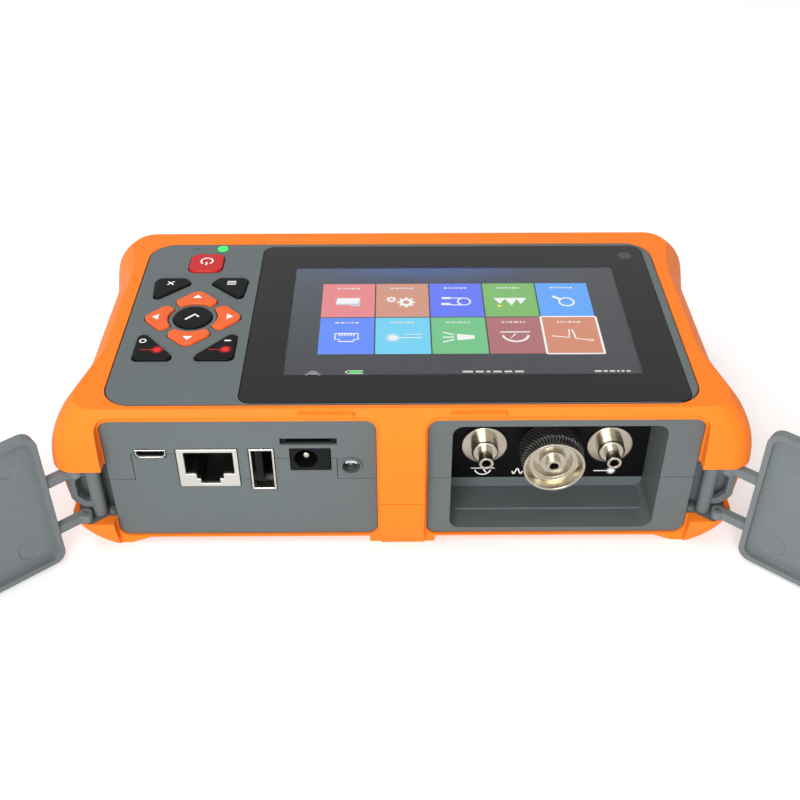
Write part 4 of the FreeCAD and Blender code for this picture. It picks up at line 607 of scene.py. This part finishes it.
def clear_glass(name, index, roughness, tint):
    """Clear glass or plastic: full transmission, with faint smears in its roughness."""
    material, tree, shader, place = new_material(name)
    shader.inputs["Base Color"].default_value = tint
    shader.inputs["Transmission Weight"].default_value = 1.0
    shader.inputs["IOR"].default_value = index
    smear = noise_node(tree, place, WIPE_SCALE, 1.0)
    rough = math_node(tree, "MULTIPLY_ADD", smear, roughness, roughness * 0.3)
    tree.links.new(rough, shader.inputs["Roughness"])
    return material


MATERIALS["screen_glass"] = clear_glass("screen_glass", GLASS_INDEX, 0.004, (1.0, 1.0, 1.0, 1.0))
MATERIALS["lens_clear"] = clear_glass("lens_clear", LENS_INDEX, 0.1, (0.9, 0.94, 0.96, 1.0))


def glowing(name, color, strength):
    """Lit plastic: its own colour, and a glow that fades a little from place to place."""
    material, tree, shader, place = new_material(name)
    tone = add_group(tree, TONE, place, Color=color, Shade=0.15, Roughness=0.35, Spread=0.1)
    tree.links.new(tone.outputs["Color"], shader.inputs["Base Color"])
    tree.links.new(tone.outputs["Color"], shader.inputs["Emission Color"])
    tree.links.new(tone.outputs["Roughness"], shader.inputs["Roughness"])
    shader.inputs["Emission Strength"].default_value = strength
    return material


MATERIALS["light_green"] = glowing("light_green", srgb(40, 225, 90), 0.6)
print("clear and glowing finishes ready")

# %% [markdown]
# The frame's parts come in with plain colours, named by what each part is made of. Each plain
# colour is now swapped for its finish, and the connectors and sockets get finishes of their own,
# because their turning marks and dark insides are set by where they sit. The power detector,
# closed in behind the plate, keeps its plain colour.

# %% Dress the frame
NODE_MATERIALS = {**PORT_METAL, **SOCKETS}
for name, node in nodes.items():
    for slot in node.material_slots:
        plain = slot.material
        slot.material = NODE_MATERIALS.get(name) or MATERIALS.get(plain.name, plain)
print("finishes on the frame", len(MATERIALS) + len(NODE_MATERIALS))

# %% [markdown]
# Printed marks and the lit picture are flat. Each drawing is a list of shapes, and a shape is a
# block of polygons with a tint. All of a drawing's polygons go into one mesh, with the tints as a
# colour attribute, so one finish serves them all. Within a group, each later shape lies a few
# thousandths of a millimetre higher, so it covers the earlier ones.

# %% Drawing helpers
LAYER = 0.000004
WHITE = (0.9, 0.9, 0.9, 1.0)


def box_shape(x_low, y_low, x_high, y_high):
    """One rectangle as a block of a single polygon."""
    return np.array([[(x_low, y_low), (x_high, y_low), (x_high, y_high), (x_low, y_high)]], float)


def arc_points(centre, radius, start, end, count):
    """Points at centre plus radius times (cos, sin), over evenly spaced degrees."""
    angles = np.radians(np.linspace(start, end, count))
    return np.array(centre) + radius * np.stack([np.cos(angles), np.sin(angles)], axis=1)


def disc_shape(centre, radius, count=28):
    """Disc as one polygon of evenly spaced points on a circle."""
    return arc_points(centre, radius, 0.0, 360.0, count + 1)[None, :-1]


def stroke_shape(points, width, closed=False):
    """Line of a width: each point goes half a width to both sides along the mean normal."""
    points = np.array(points, float)
    before = np.roll(points, 1, axis=0) if closed else np.vstack([points[:1], points[:-1]])
    after = np.roll(points, -1, axis=0) if closed else np.vstack([points[1:], points[-1:]])
    along = after - before
    along /= np.linalg.norm(along, axis=1, keepdims=True)
    aside = np.stack([-along[:, 1], along[:, 0]], axis=1) * width / 2
    left, right = points + aside, points - aside
    if closed:
        left, right = np.vstack([left, left[:1]]), np.vstack([right, right[:1]])
    return np.stack([right[:-1], right[1:], left[1:], left[:-1]], axis=1)


def ring_shape(centre, radius, width, start=0.0, end=360.0, count=33):
    """Line of a width along an arc."""
    return stroke_shape(arc_points(centre, radius, start, end, count), width)


def burst_shape(centre, inner, outer, rays, width):
    """Thin pointed rays from an inner to an outer radius, all round a centre."""
    angles = np.radians(np.arange(rays) * 360.0 / rays)
    out = np.stack([np.cos(angles), np.sin(angles)], axis=1)
    aside = np.stack([-out[:, 1], out[:, 0]], axis=1) * width / 2
    middle = np.array(centre)
    return np.stack(
        [middle + out * inner - aside, middle + out * outer, middle + out * inner + aside], axis=1)


def turned(shapes, centre):
    """Shapes drawn upright for someone on the far side, set about a centre, in millimetres."""
    middle = np.array(centre)
    return [(middle - polygons * MM, tint) for polygons, tint in shapes]


def drawing(name, groups, level, body, finish, across="Z"):
    """Mesh of all groups of shapes at a level along Z, or along Y for an upright face."""
    corners, faces, tints = [], [], []
    stacked = [(layer, *shape) for shapes in groups for layer, shape in enumerate(shapes)]
    for layer, polygons, tint in stacked:
        count, sides = polygons.shape[:2]
        first = sum(len(block) for block in corners)
        flat = polygons.reshape(-1, 2)
        if across == "Z":
            height = np.full(len(flat), level + layer * LAYER)
            corners.append(np.column_stack([flat, height]))
        else:
            depth = np.full(len(flat), level - layer * LAYER)
            corners.append(np.column_stack([flat[:, 0], depth, flat[:, 1]]))
        order = np.arange(count * sides).reshape(count, sides)
        signed = polygons[:, :, 0] * np.roll(polygons[:, :, 1], -1, axis=1)
        signed = (signed - np.roll(polygons[:, :, 0], -1, axis=1) * polygons[:, :, 1]).sum(axis=1)
        order[signed < 0] = order[signed < 0][:, ::-1]
        faces += (order + first).tolist()
        tints.append(np.tile(np.array(tint, np.float32), (len(flat), 1)))
    mesh = bpy.data.meshes.new(name)
    mesh.from_pydata(np.vstack(corners).tolist(), [], faces)
    colors = mesh.color_attributes.new(name="tint", type="FLOAT_COLOR", domain="POINT")
    colors.data.foreach_set("color", np.vstack(tints).ravel())
    mesh.materials.append(finish)
    piece = bpy.data.objects.new(name, mesh)
    bpy.context.scene.collection.objects.link(piece)
    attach(piece, body)
    return piece


print("drawing helpers ready, layer", LAYER)

# %% [markdown]
# One recipe serves print and picture, coloured by the tint of the drawing. Print reflects light
# like the paint that it is. The picture shines by itself and reflects nothing, because the glass
# above already does. The border's enamel is as glossy as the glass, so it has the glass's index.

# %% Ink and picture finishes
def ink(name, roughness, gloss, glow):
    """Printed ink, or a lit picture where the glow isn't 0, coloured by the tint attribute."""
    material, tree, shader, place = new_material(name)
    shader.inputs["Specular IOR Level"].default_value = gloss
    tint = tree.nodes.new("ShaderNodeVertexColor")
    tint.layer_name = "tint"
    tone = add_group(tree, TONE, place, Shade=0.08, Roughness=roughness, Spread=0.2 * roughness)
    tree.links.new(tint.outputs["Color"], tone.inputs["Color"])
    tree.links.new(tone.outputs["Roughness"], shader.inputs["Roughness"])
    if glow:
        shader.inputs["Base Color"].default_value = (0.01, 0.01, 0.01, 1.0)
        tree.links.new(tone.outputs["Color"], shader.inputs["Emission Color"])
        shader.inputs["Emission Strength"].default_value = glow
    else:
        tree.links.new(tone.outputs["Color"], shader.inputs["Base Color"])
    return material


INK = ink("printed_ink", 0.45, 0.2, 0.0)
GLASS_PRINT = ink("glass_print", 0.015, 0.5, 0.0)
GLASS_PRINT.node_tree.nodes["Principled BSDF"].inputs["IOR"].default_value = GLASS_INDEX
PICTURE = ink("lit_picture", 0.5, 0.0, 1.0)
print("drawing finishes ready")

# %% [markdown]
# The black border of the glass hides the frame of the display. Print behind glass looks as smooth
# and glossy as the clear part, so here it is enamel on the face, as glossy as the glass, which
# renders cleaner than a print below it. It lies between the glass's own outline and the lit area,
# so it is carried round as one closed band. On the near side it keeps a small margin, so that the
# slanting look through the glass doesn't cut the picture.

# %% Border of the glass
ACTIVE_X = (-0.0313, 0.0637)
ACTIVE_Y = (-0.0324, 0.0214)
glass_low, glass_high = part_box("touch_glass")
BORDER_Z = glass_high[2] + LAYER
NEAR_MARGIN = 0.0007
RIM = 0.0001
GLASS_CORNER = 0.0034
OPENING_CORNER = 0.0003
CORNER_POINTS = 8
PICTURE_DROP = 0.000095
PICTURE_Z = glass_low[2] - PICTURE_DROP


def rounded_loop(x_low, y_low, x_high, y_high, radius, count):
    """Closed outline: a quarter circle about each corner's centre, in turn."""
    centres = [
        (x_high - radius, y_high - radius, 0), (x_low + radius, y_high - radius, 90),
        (x_low + radius, y_low + radius, 180), (x_high - radius, y_low + radius, 270)]
    return np.vstack([
        arc_points((x, y), radius, start, start + 90, count) for x, y, start in centres])


outer_loop = rounded_loop(
    glass_low[0] + RIM, glass_low[1] + RIM, glass_high[0] - RIM, glass_high[1] - RIM,
    GLASS_CORNER, CORNER_POINTS)
inner_loop = rounded_loop(
    ACTIVE_X[0], ACTIVE_Y[0] - NEAR_MARGIN, ACTIVE_X[1], ACTIVE_Y[1],
    OPENING_CORNER, CORNER_POINTS)
outer_next = np.roll(outer_loop, -1, axis=0)
inner_next = np.roll(inner_loop, -1, axis=0)
band = np.stack([outer_loop, outer_next, inner_next, inner_loop], axis=1)
border = drawing("glass_border", [[(band, srgb(22, 22, 23))]], BORDER_Z, "housing", GLASS_PRINT)
print("border polygons", len(border.data.polygons))

# %% [markdown]
# The picture is a menu of ten coloured tiles on a dim night-blue ground, drawn for someone on the
# far side of the tester. Its ground carries a painted blue glare near the middle of the far edge,
# and a painted paler reflection towards the far left corner. Its symbols are plain ones that any
# tester could show: a trace, a gauge, a light, a burst, a socket, a folder, a gear wheel, a loop
# of fibre, hills and a lens.

# %% Ground of the picture
GROUND_STEPS = (48, 28)
GROUND_GREY = srgb(38, 42, 50)[:3]
# Painted glare: a blue bell near the middle of the far edge, and a painted paler reflection
# towards the far left corner.
GLARE_X = 0.008
GLARE_REACH = (0.026, 0.007)
GLARE_TINT = (0.0, 0.05, 0.22)
SIDE_GLARE_REACH = (0.04, 0.05)
SIDE_GLARE_NEAR = -0.03
SIDE_GLARE_TINT = (0.03, 0.045, 0.07)


def ground_shapes():
    """Grid of small rectangles over the lit area."""
    across = np.linspace(*ACTIVE_X, GROUND_STEPS[0] + 1)
    along = np.linspace(*ACTIVE_Y, GROUND_STEPS[1] + 1)
    shapes = []
    for low, high in zip(along[:-1], along[1:]):
        row = np.stack([
            np.stack([across[:-1], np.full(GROUND_STEPS[0], low)], axis=1),
            np.stack([across[1:], np.full(GROUND_STEPS[0], low)], axis=1),
            np.stack([across[1:], np.full(GROUND_STEPS[0], high)], axis=1),
            np.stack([across[:-1], np.full(GROUND_STEPS[0], high)], axis=1)], axis=1)
        shapes.append(row)
    return np.concatenate(shapes)


def ground_piece():
    """Ground as one grid with a smooth tint.

    The tint is a grey, plus a painted blue glare, blue times a bell of the distance from the
    middle of the far edge, plus a painted paler reflection that grows towards the far left corner.
    """
    polygons = ground_shapes()
    ground = [[(polygons, (0, 0, 0, 1))]]
    piece = drawing("picture_ground", ground, PICTURE_Z, "housing", PICTURE)
    x, y = polygons.reshape(-1, 2).T
    # Painted blue glare near the far edge, and a painted paler reflection towards the far left
    # corner.
    glow = np.exp(
        -((x - GLARE_X) / GLARE_REACH[0]) ** 2 - ((y - ACTIVE_Y[1]) / GLARE_REACH[1]) ** 2)
    leftward = np.clip(-x / SIDE_GLARE_REACH[0], 0.0, 1.0)
    side = leftward * np.clip((y - SIDE_GLARE_NEAR) / SIDE_GLARE_REACH[1], 0.0, 1.0)
    tint = GROUND_GREY + np.outer(glow, GLARE_TINT) + np.outer(side, SIDE_GLARE_TINT)
    full = np.column_stack([tint, np.ones(len(tint))]).astype(np.float32)
    piece.data.color_attributes["tint"].data.foreach_set("color", full.ravel())
    return piece


ground_piece()
print("ground cells", GROUND_STEPS[0] * GROUND_STEPS[1])

# %% [markdown]
# Each symbol is drawn upright in millimetres about its own middle, as an icon designer would, and
# is turned and placed later. Lines are strokes, and solid areas are plain polygons.

# %% Symbols of the menu
PALE_GREY = (0.75, 0.75, 0.75, 1.0)


def trace_symbol():
    """Jagged start, a long fall with a pulse in it."""
    start = [(-5.6 + 0.35 * step, 1.7 + 0.5 * (-1) ** step) for step in range(6)]
    line = start + [(-3.3, 1.4), (-0.9, 0.9), (-0.4, -3.2), (0.5, -3.4), (0.9, 0.4), (5.6, -0.4)]
    return [(stroke_shape(line, 0.45), WHITE)]


def gauge_symbol():
    """Half dial over a base line, with a needle."""
    dial = ring_shape((0, -1.4), 3.6, 0.7, 10.0, 170.0, 21)
    needle = np.array([[(-0.35, -1.5), (0.35, -1.3), (2.1, 1.5)]])
    base = box_shape(-4.2, -2.6, 4.2, -2.1)
    return [(dial, WHITE), (needle, WHITE), (base, WHITE)]


def light_symbol():
    """Torch as a tapering bar, with three spreading rays."""
    cone = np.array([[(-4.2, -0.8), (-4.2, 0.8), (0.6, 1.5), (0.6, -1.5)]])
    rays = [stroke_shape([(1.4, y), (4.6, 2.2 * y)], 0.5) for y in (-1.1, 0.0, 1.1)]
    return [(cone, WHITE)] + [(ray, WHITE) for ray in rays]


def burst_symbol():
    """Burst at the end of a beam, with a short dash below."""
    rays = burst_shape((2.8, 0.2), 0.3, 2.6, 16, 0.5)
    beam = stroke_shape([(-5.2, 0.2), (2.8, 0.2)], 0.35)
    dash = stroke_shape([(-5.2, -1.4), (-0.6, -1.4)], 0.3)
    return [(rays, WHITE), (beam, WHITE), (dash, WHITE)]


def socket_symbol():
    """Outline of a network socket with its row of contacts."""
    outline = [
        (-3.2, -1.9), (3.2, -1.9), (3.2, 0.9), (2.0, 0.9), (2.0, 1.9), (-2.0, 1.9), (-2.0, 0.9),
        (-3.2, 0.9)]
    pins = [box_shape(x - 0.2, -1.8, x + 0.2, -0.7) for x in np.linspace(-2.0, 2.0, 6)]
    return [(stroke_shape(outline, 0.5, True), WHITE)] + [(pin, WHITE) for pin in pins]


def folder_symbol():
    """Folder with a tab, and its leaning front sheet."""
    back = np.array([[
        (-3.4, -2.0), (3.4, -2.0), (3.4, 1.6), (-0.4, 1.6), (-1.0, 2.3), (-3.4, 2.3)]])
    front = np.array([[(-3.4, -2.0), (3.1, -2.0), (3.7, 0.9), (-2.7, 0.9)]])
    return [(back, (0.55, 0.62, 0.7, 1.0)), (front, WHITE)]


def gear_symbol():
    """Large and small gear wheel: eight tapered teeth about a thick ring."""
    shapes = []
    for centre, size in (((-1.1, 0.3), 1.0), ((3.2, -1.2), 0.6)):
        angles = np.radians(np.arange(8) * 45.0)
        out = np.stack([np.cos(angles), np.sin(angles)], axis=1)
        aside = np.stack([-out[:, 1], out[:, 0]], axis=1) * 0.45 * size
        middle = np.array(centre)
        teeth = np.stack([
            middle + out * 1.6 * size - aside, middle + out * 2.6 * size - aside * 0.7,
            middle + out * 2.6 * size + aside * 0.7, middle + out * 1.6 * size + aside], axis=1)
        shapes += [(teeth, WHITE), (ring_shape(centre, 1.45 * size, 1.0 * size), WHITE)]
    return shapes


def loop_symbol():
    """Loop of fibre whose two ends run to plugs."""
    coil = ring_shape((-2.2, 0.0), 1.8, 0.5)
    upper = stroke_shape([(-2.0, 1.8), (1.2, 1.8), (2.0, 1.4)], 0.45)
    lower = stroke_shape([(-2.0, -1.8), (1.6, -1.8)], 0.45)
    plugs = [box_shape(1.8, 0.8, 4.4, 1.9), box_shape(1.6, -2.3, 4.2, -1.3)]
    return [(coil, WHITE), (upper, WHITE), (lower, WHITE)] + [(plug, WHITE) for plug in plugs]


def hills_symbol():
    """Three hills and a small sun."""
    hills = np.array([
        [(-4.8, -1.8), (-1.6, -1.8), (-3.0, 1.5)], [(-2.2, -1.8), (1.8, -1.8), (-0.2, 2.2)],
        [(1.2, -1.8), (4.8, -1.8), (3.1, 1.3)]])
    return [(hills, WHITE), (disc_shape((3.4, 2.4), 0.6), srgb(250, 220, 90))]


def lens_symbol():
    """Round lens with a handle."""
    handle = stroke_shape([(1.0, -1.0), (3.2, -2.6)], 1.0)
    return [(ring_shape((-0.6, 0.4), 2.1, 0.6), WHITE), (handle, WHITE)]


print("symbols ready")

# %% [markdown]
# The ten tiles stand in two rows with a hair of dark ground between them, and the chosen one has
# a white frame. A tile this small carries a caption too fine to read, so a row of short bars
# stands for it, with lengths from a seeded spread.

# %% Tiles of the menu
TILE_X = (-0.0230, 0.0551)
TILE_Y = (-0.0233, 0.0126)
NEAR_ROW = (
    (srgb(84, 134, 250), socket_symbol), (srgb(104, 208, 242), burst_symbol),
    (srgb(104, 194, 130), light_symbol), (srgb(172, 100, 104), gauge_symbol),
    (srgb(210, 132, 100), trace_symbol))
FAR_ROW = (
    (srgb(230, 128, 132), folder_symbol), (srgb(208, 144, 120), gear_symbol),
    (srgb(82, 110, 246), loop_symbol), (srgb(116, 184, 94), hills_symbol),
    (srgb(80, 162, 250), lens_symbol))
TILE_GAP = 0.0002
SYMBOL_HEIGHT = 0.45
CAPTION_HEIGHT = 0.85
CAPTION_WIDTH = 7.0
WORDS = 6
WORD_GAP = 0.35
HALF_LETTER = 0.35
CHOSEN = 4
FRAME_WIDTH = 0.0006
FRAME_CORNER = 0.0004


def label_bars(width, seed):
    """Row of short bars of seeded lengths, centred and scaled to a width in millimetres."""
    lengths = np.random.default_rng(seed).uniform(0.5, 1.5, WORDS)
    ends = np.cumsum(lengths + WORD_GAP)
    starts = (ends - lengths) / ends[-1] * width - width / 2
    stops = ends / ends[-1] * width - width / 2 - 0.1
    return [
        (box_shape(low, -HALF_LETTER, high, HALF_LETTER), PALE_GREY)
        for low, high in zip(starts, stops)]


menu = []
wide = (TILE_X[1] - TILE_X[0]) / 5
tall = (TILE_Y[1] - TILE_Y[0]) / 2
for row, tiles in enumerate((NEAR_ROW, FAR_ROW)):
    for column, (color, symbol) in enumerate(tiles):
        left = TILE_X[0] + column * wide
        low = TILE_Y[0] + row * tall
        middle = left + wide / 2
        tile = box_shape(
            left + TILE_GAP, low + TILE_GAP, left + wide - TILE_GAP, low + tall - TILE_GAP)
        symbols = turned(symbol(), (middle, low + SYMBOL_HEIGHT * tall))
        bars = label_bars(CAPTION_WIDTH, 5 * row + column)
        caption = turned(bars, (middle, low + CAPTION_HEIGHT * tall))
        menu.append([(tile, color)] + symbols + caption)
frame_loop = rounded_loop(
    TILE_X[1] - wide, TILE_Y[0], TILE_X[1], TILE_Y[0] + tall, FRAME_CORNER, 4)
menu[CHOSEN].append((stroke_shape(frame_loop, FRAME_WIDTH, True), WHITE))
print("menu tiles", len(menu))

# %% [markdown]
# The line along the near edge has a battery, a small network mark and two runs of bars, where
# such a screen shows its time and the name of the page.

# %% Status line of the menu
def battery_symbol():
    """Outline with a tip, filled with green."""
    case = stroke_shape([(-2.2, -0.7), (2.0, -0.7), (2.0, 0.7), (-2.2, 0.7)], 0.22, True)
    charge = box_shape(-1.9, -0.45, 1.4, 0.45)
    tip = box_shape(2.0, -0.3, 2.5, 0.3)
    return [(case, WHITE), (charge, srgb(70, 230, 90)), (tip, WHITE)]


def waves_symbol():
    """Three arcs about one point."""
    arcs = [ring_shape((0.0, -1.2), radius, 0.35, 45.0, 135.0, 9) for radius in (1.0, 1.9, 2.8)]
    return [(part, (0.6, 0.62, 0.66, 1.0)) for part in arcs]


STATUS_INSET = 0.0012
STATUS_Y = ACTIVE_Y[0] + STATUS_INSET
menu.append(turned(battery_symbol(), (-0.0125, STATUS_Y)))
menu.append(turned(waves_symbol(), (-0.0235, STATUS_Y)))
menu.append(turned(label_bars(17.0, 21), (0.0245, STATUS_Y)))
menu.append(turned(label_bars(10.0, 22), (0.0560, STATUS_Y)))
picture = drawing("picture_menu", menu, PICTURE_Z + LAYER, "housing", PICTURE)
print("menu polygons", len(picture.data.polygons))

# %% [markdown]
# The key caps carry printed marks, and each print rides on its own key. The four arrows point
# away from the middle. The red burst on the two lower keys stands for the laser, and the other
# marks are plain ones: a cross, a menu, a tick, a circle and a bar.

# %% Marks on the keys
RED_INK = srgb(225, 40, 38)
INK_LIFT = 0.00001
OUTWARD = 0.0006
UPPER_SHIFT = 0.0024


def mark_key(name, shapes, shift=(0.0, 0.0)):
    """Marks drawn upright for the far side, set about a key's middle plus a shift."""
    place = middle_of(name)[:2] + shift
    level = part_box(name)[1][2] + INK_LIFT
    piece = drawing("mark_" + name, [turned(shapes, place)], level, name, INK)


def arrow_mark(turn):
    """Triangle whose tip points at a turn in degrees from +X, as seen from above."""
    angle = math.radians(turn + 180.0)
    corners = np.array([(1.1, 0.0), (-0.75, 1.35), (-0.75, -1.35)])
    spin = np.array([[math.cos(angle), math.sin(angle)], [-math.sin(angle), math.cos(angle)]])
    return [((corners @ spin)[None], WHITE)]


power_ring = ring_shape((0.0, 0.0), 1.75, 0.5, 125.0, 415.0, 25)
power_bar = stroke_shape([(0.0, 0.5), (0.0, 2.3)], 0.5)
mark_key("key_power", [(power_ring, WHITE), (power_bar, WHITE)], (0.0, OUTWARD))
for name, turn in (("key_right", 0.0), ("key_up", 90.0), ("key_left", 180.0), ("key_down", 270.0)):
    angle = math.radians(turn)
    mark_key(name, arrow_mark(turn), (OUTWARD * math.cos(angle), OUTWARD * math.sin(angle)))
tick = [(-1.7, 0.1), (-0.5, -1.2), (1.9, 1.4)]
mark_key("key_select", [(stroke_shape(tick, 0.65), WHITE)])
cross = [stroke_shape([(-0.9, side), (0.9, -side)], 0.42) for side in (0.9, -0.9)]
mark_key("key_escape", [(part, WHITE) for part in cross], (-OUTWARD, UPPER_SHIFT))
bars = [box_shape(-1.3, y - 0.2, 1.3, y + 0.2) for y in (-0.8, 0.0, 0.8)]
mark_key("key_setup", [(part, WHITE) for part in bars], (OUTWARD, UPPER_SHIFT))


def laser_burst(centre):
    """Round burst with a thin beam that comes in from one side."""
    beam = stroke_shape([(centre[0] + 1.2, centre[1]), (centre[0] + 4.6, centre[1])], 0.22)
    return [
        (disc_shape(centre, 0.85, 18), RED_INK), (burst_shape(centre, 0.7, 1.9, 14, 0.4), RED_INK),
        (beam, RED_INK)]


round_mark = (ring_shape((3.6, -2.6), 0.8, 0.38), WHITE)
bar_mark = (box_shape(-3.9, -2.9, -2.1, -2.3), WHITE)
mark_key("key_auto", [round_mark] + laser_burst((-1.0, 1.6)))
mark_key("key_mark", [bar_mark] + laser_burst((-2.8, 1.6)))
key_marks = [name for name in bpy.data.objects.keys() if name.startswith("mark_")]
print("key marks", len(key_marks))

# %% [markdown]
# Below each optical connector, the black plate carries a small white mark, which stands upright
# for someone on the far side. A tiny battery on the deck names the status light, and a grey dot
# in the glass's far corner is the window of the light sensor.

# %% Marks on the plate and the deck
plate_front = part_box("connector_plate")[0][1]
MARK_DROP = 0.0103


def plate_mark(name, port, shapes):
    """Marks on the front of the plate, a set distance below a connector's axis."""
    x, _, z = middle_of(port)
    centre = np.array([x, z - MARK_DROP])
    flip = np.array([MM, -MM])
    placed = [(centre + polygons * flip, tint) for polygons, tint in shapes]
    piece = drawing(name, [placed], plate_front - INK_LIFT, "housing", INK, "Y")


gauge_mark = [
    (ring_shape((0.0, -1.1), 2.3, 0.36, 15.0, 165.0, 17), WHITE),
    (stroke_shape([(0.0, -1.1), (1.0, 0.5)], 0.36), WHITE),
    (stroke_shape([(-3.4, -1.2), (3.4, -1.2)], 0.3), WHITE)]
plate_mark("mark_meter", "power_meter_port", gauge_mark)
wave = np.stack([np.linspace(-10.0, -7.0, 19), 1.0 * np.sin(np.linspace(0.0, 9.42, 19))], axis=1)
plate_mark("mark_fibre", "fibre_port", [(stroke_shape(wave, 0.36), WHITE)])
plate_mark("mark_laser", "fault_laser_port", [
    (disc_shape((1.6, 0.0), 0.6, 16), WHITE), (burst_shape((1.6, 0.0), 0.6, 1.5, 12, 0.4), WHITE),
    (stroke_shape([(-3.4, 0.0), (1.0, 0.0)], 0.32), WHITE)])
STATUS_PLACE = (-0.0629, 0.0322)
SENSOR_PLACE = (0.0688, 0.0273)
SENSOR_RADIUS = 0.0021
DARK_INK = srgb(45, 48, 50)
battery_case = stroke_shape([(-0.9, -0.35), (0.8, -0.35), (0.8, 0.35), (-0.9, 0.35)], 0.16, True)
deck_mark = [(battery_case, DARK_INK), (box_shape(0.85, -0.15, 1.05, 0.15), DARK_INK)]
deck_z = glass_high[2] + INK_LIFT
piece = drawing("mark_status", [turned(deck_mark, STATUS_PLACE)], deck_z, "housing", INK)
window = disc_shape(SENSOR_PLACE, SENSOR_RADIUS, 32)
sensor = drawing(
    "light_sensor", [[(window, srgb(64, 65, 67))]], BORDER_Z + LAYER, "housing", GLASS_PRINT)
print("marks done")

# %% [markdown]
# The tester lies on a plain white sheet. The sheet is a pale matt floor that keeps the soft
# shadow, and it looks white to the camera through a glow of its own, so no lamp has to burn it
# out.

# %% Table
TABLE_HALF = 4.0
CAMERA_LIFT = 0.3


def table_top(half):
    """Flat square floor at z 0."""
    corners = np.array([(-1, -1, 0), (1, -1, 0), (1, 1, 0), (-1, 1, 0)], float) * half
    mesh = bpy.data.meshes.new("table_top")
    mesh.from_pydata(corners.tolist(), [], [(0, 1, 2, 3)])
    table = bpy.data.objects.new("table_top", mesh)
    bpy.context.scene.collection.objects.link(table)
    material, tree, shader, _ = new_material("table_white")
    shader.inputs["Base Color"].default_value = (0.8, 0.8, 0.8, 1.0)
    shader.inputs["Roughness"].default_value = 0.9
    shader.inputs["Emission Color"].default_value = (1.0, 1.0, 1.0, 1.0)
    path = tree.nodes.new("ShaderNodeLightPath")
    lift = math_node(tree, "MULTIPLY", path.outputs["Is Camera Ray"], CAMERA_LIFT)
    tree.links.new(lift, shader.inputs["Emission Strength"])
    mesh.materials.append(material)


table_top(TABLE_HALF)
print("table half width", TABLE_HALF)
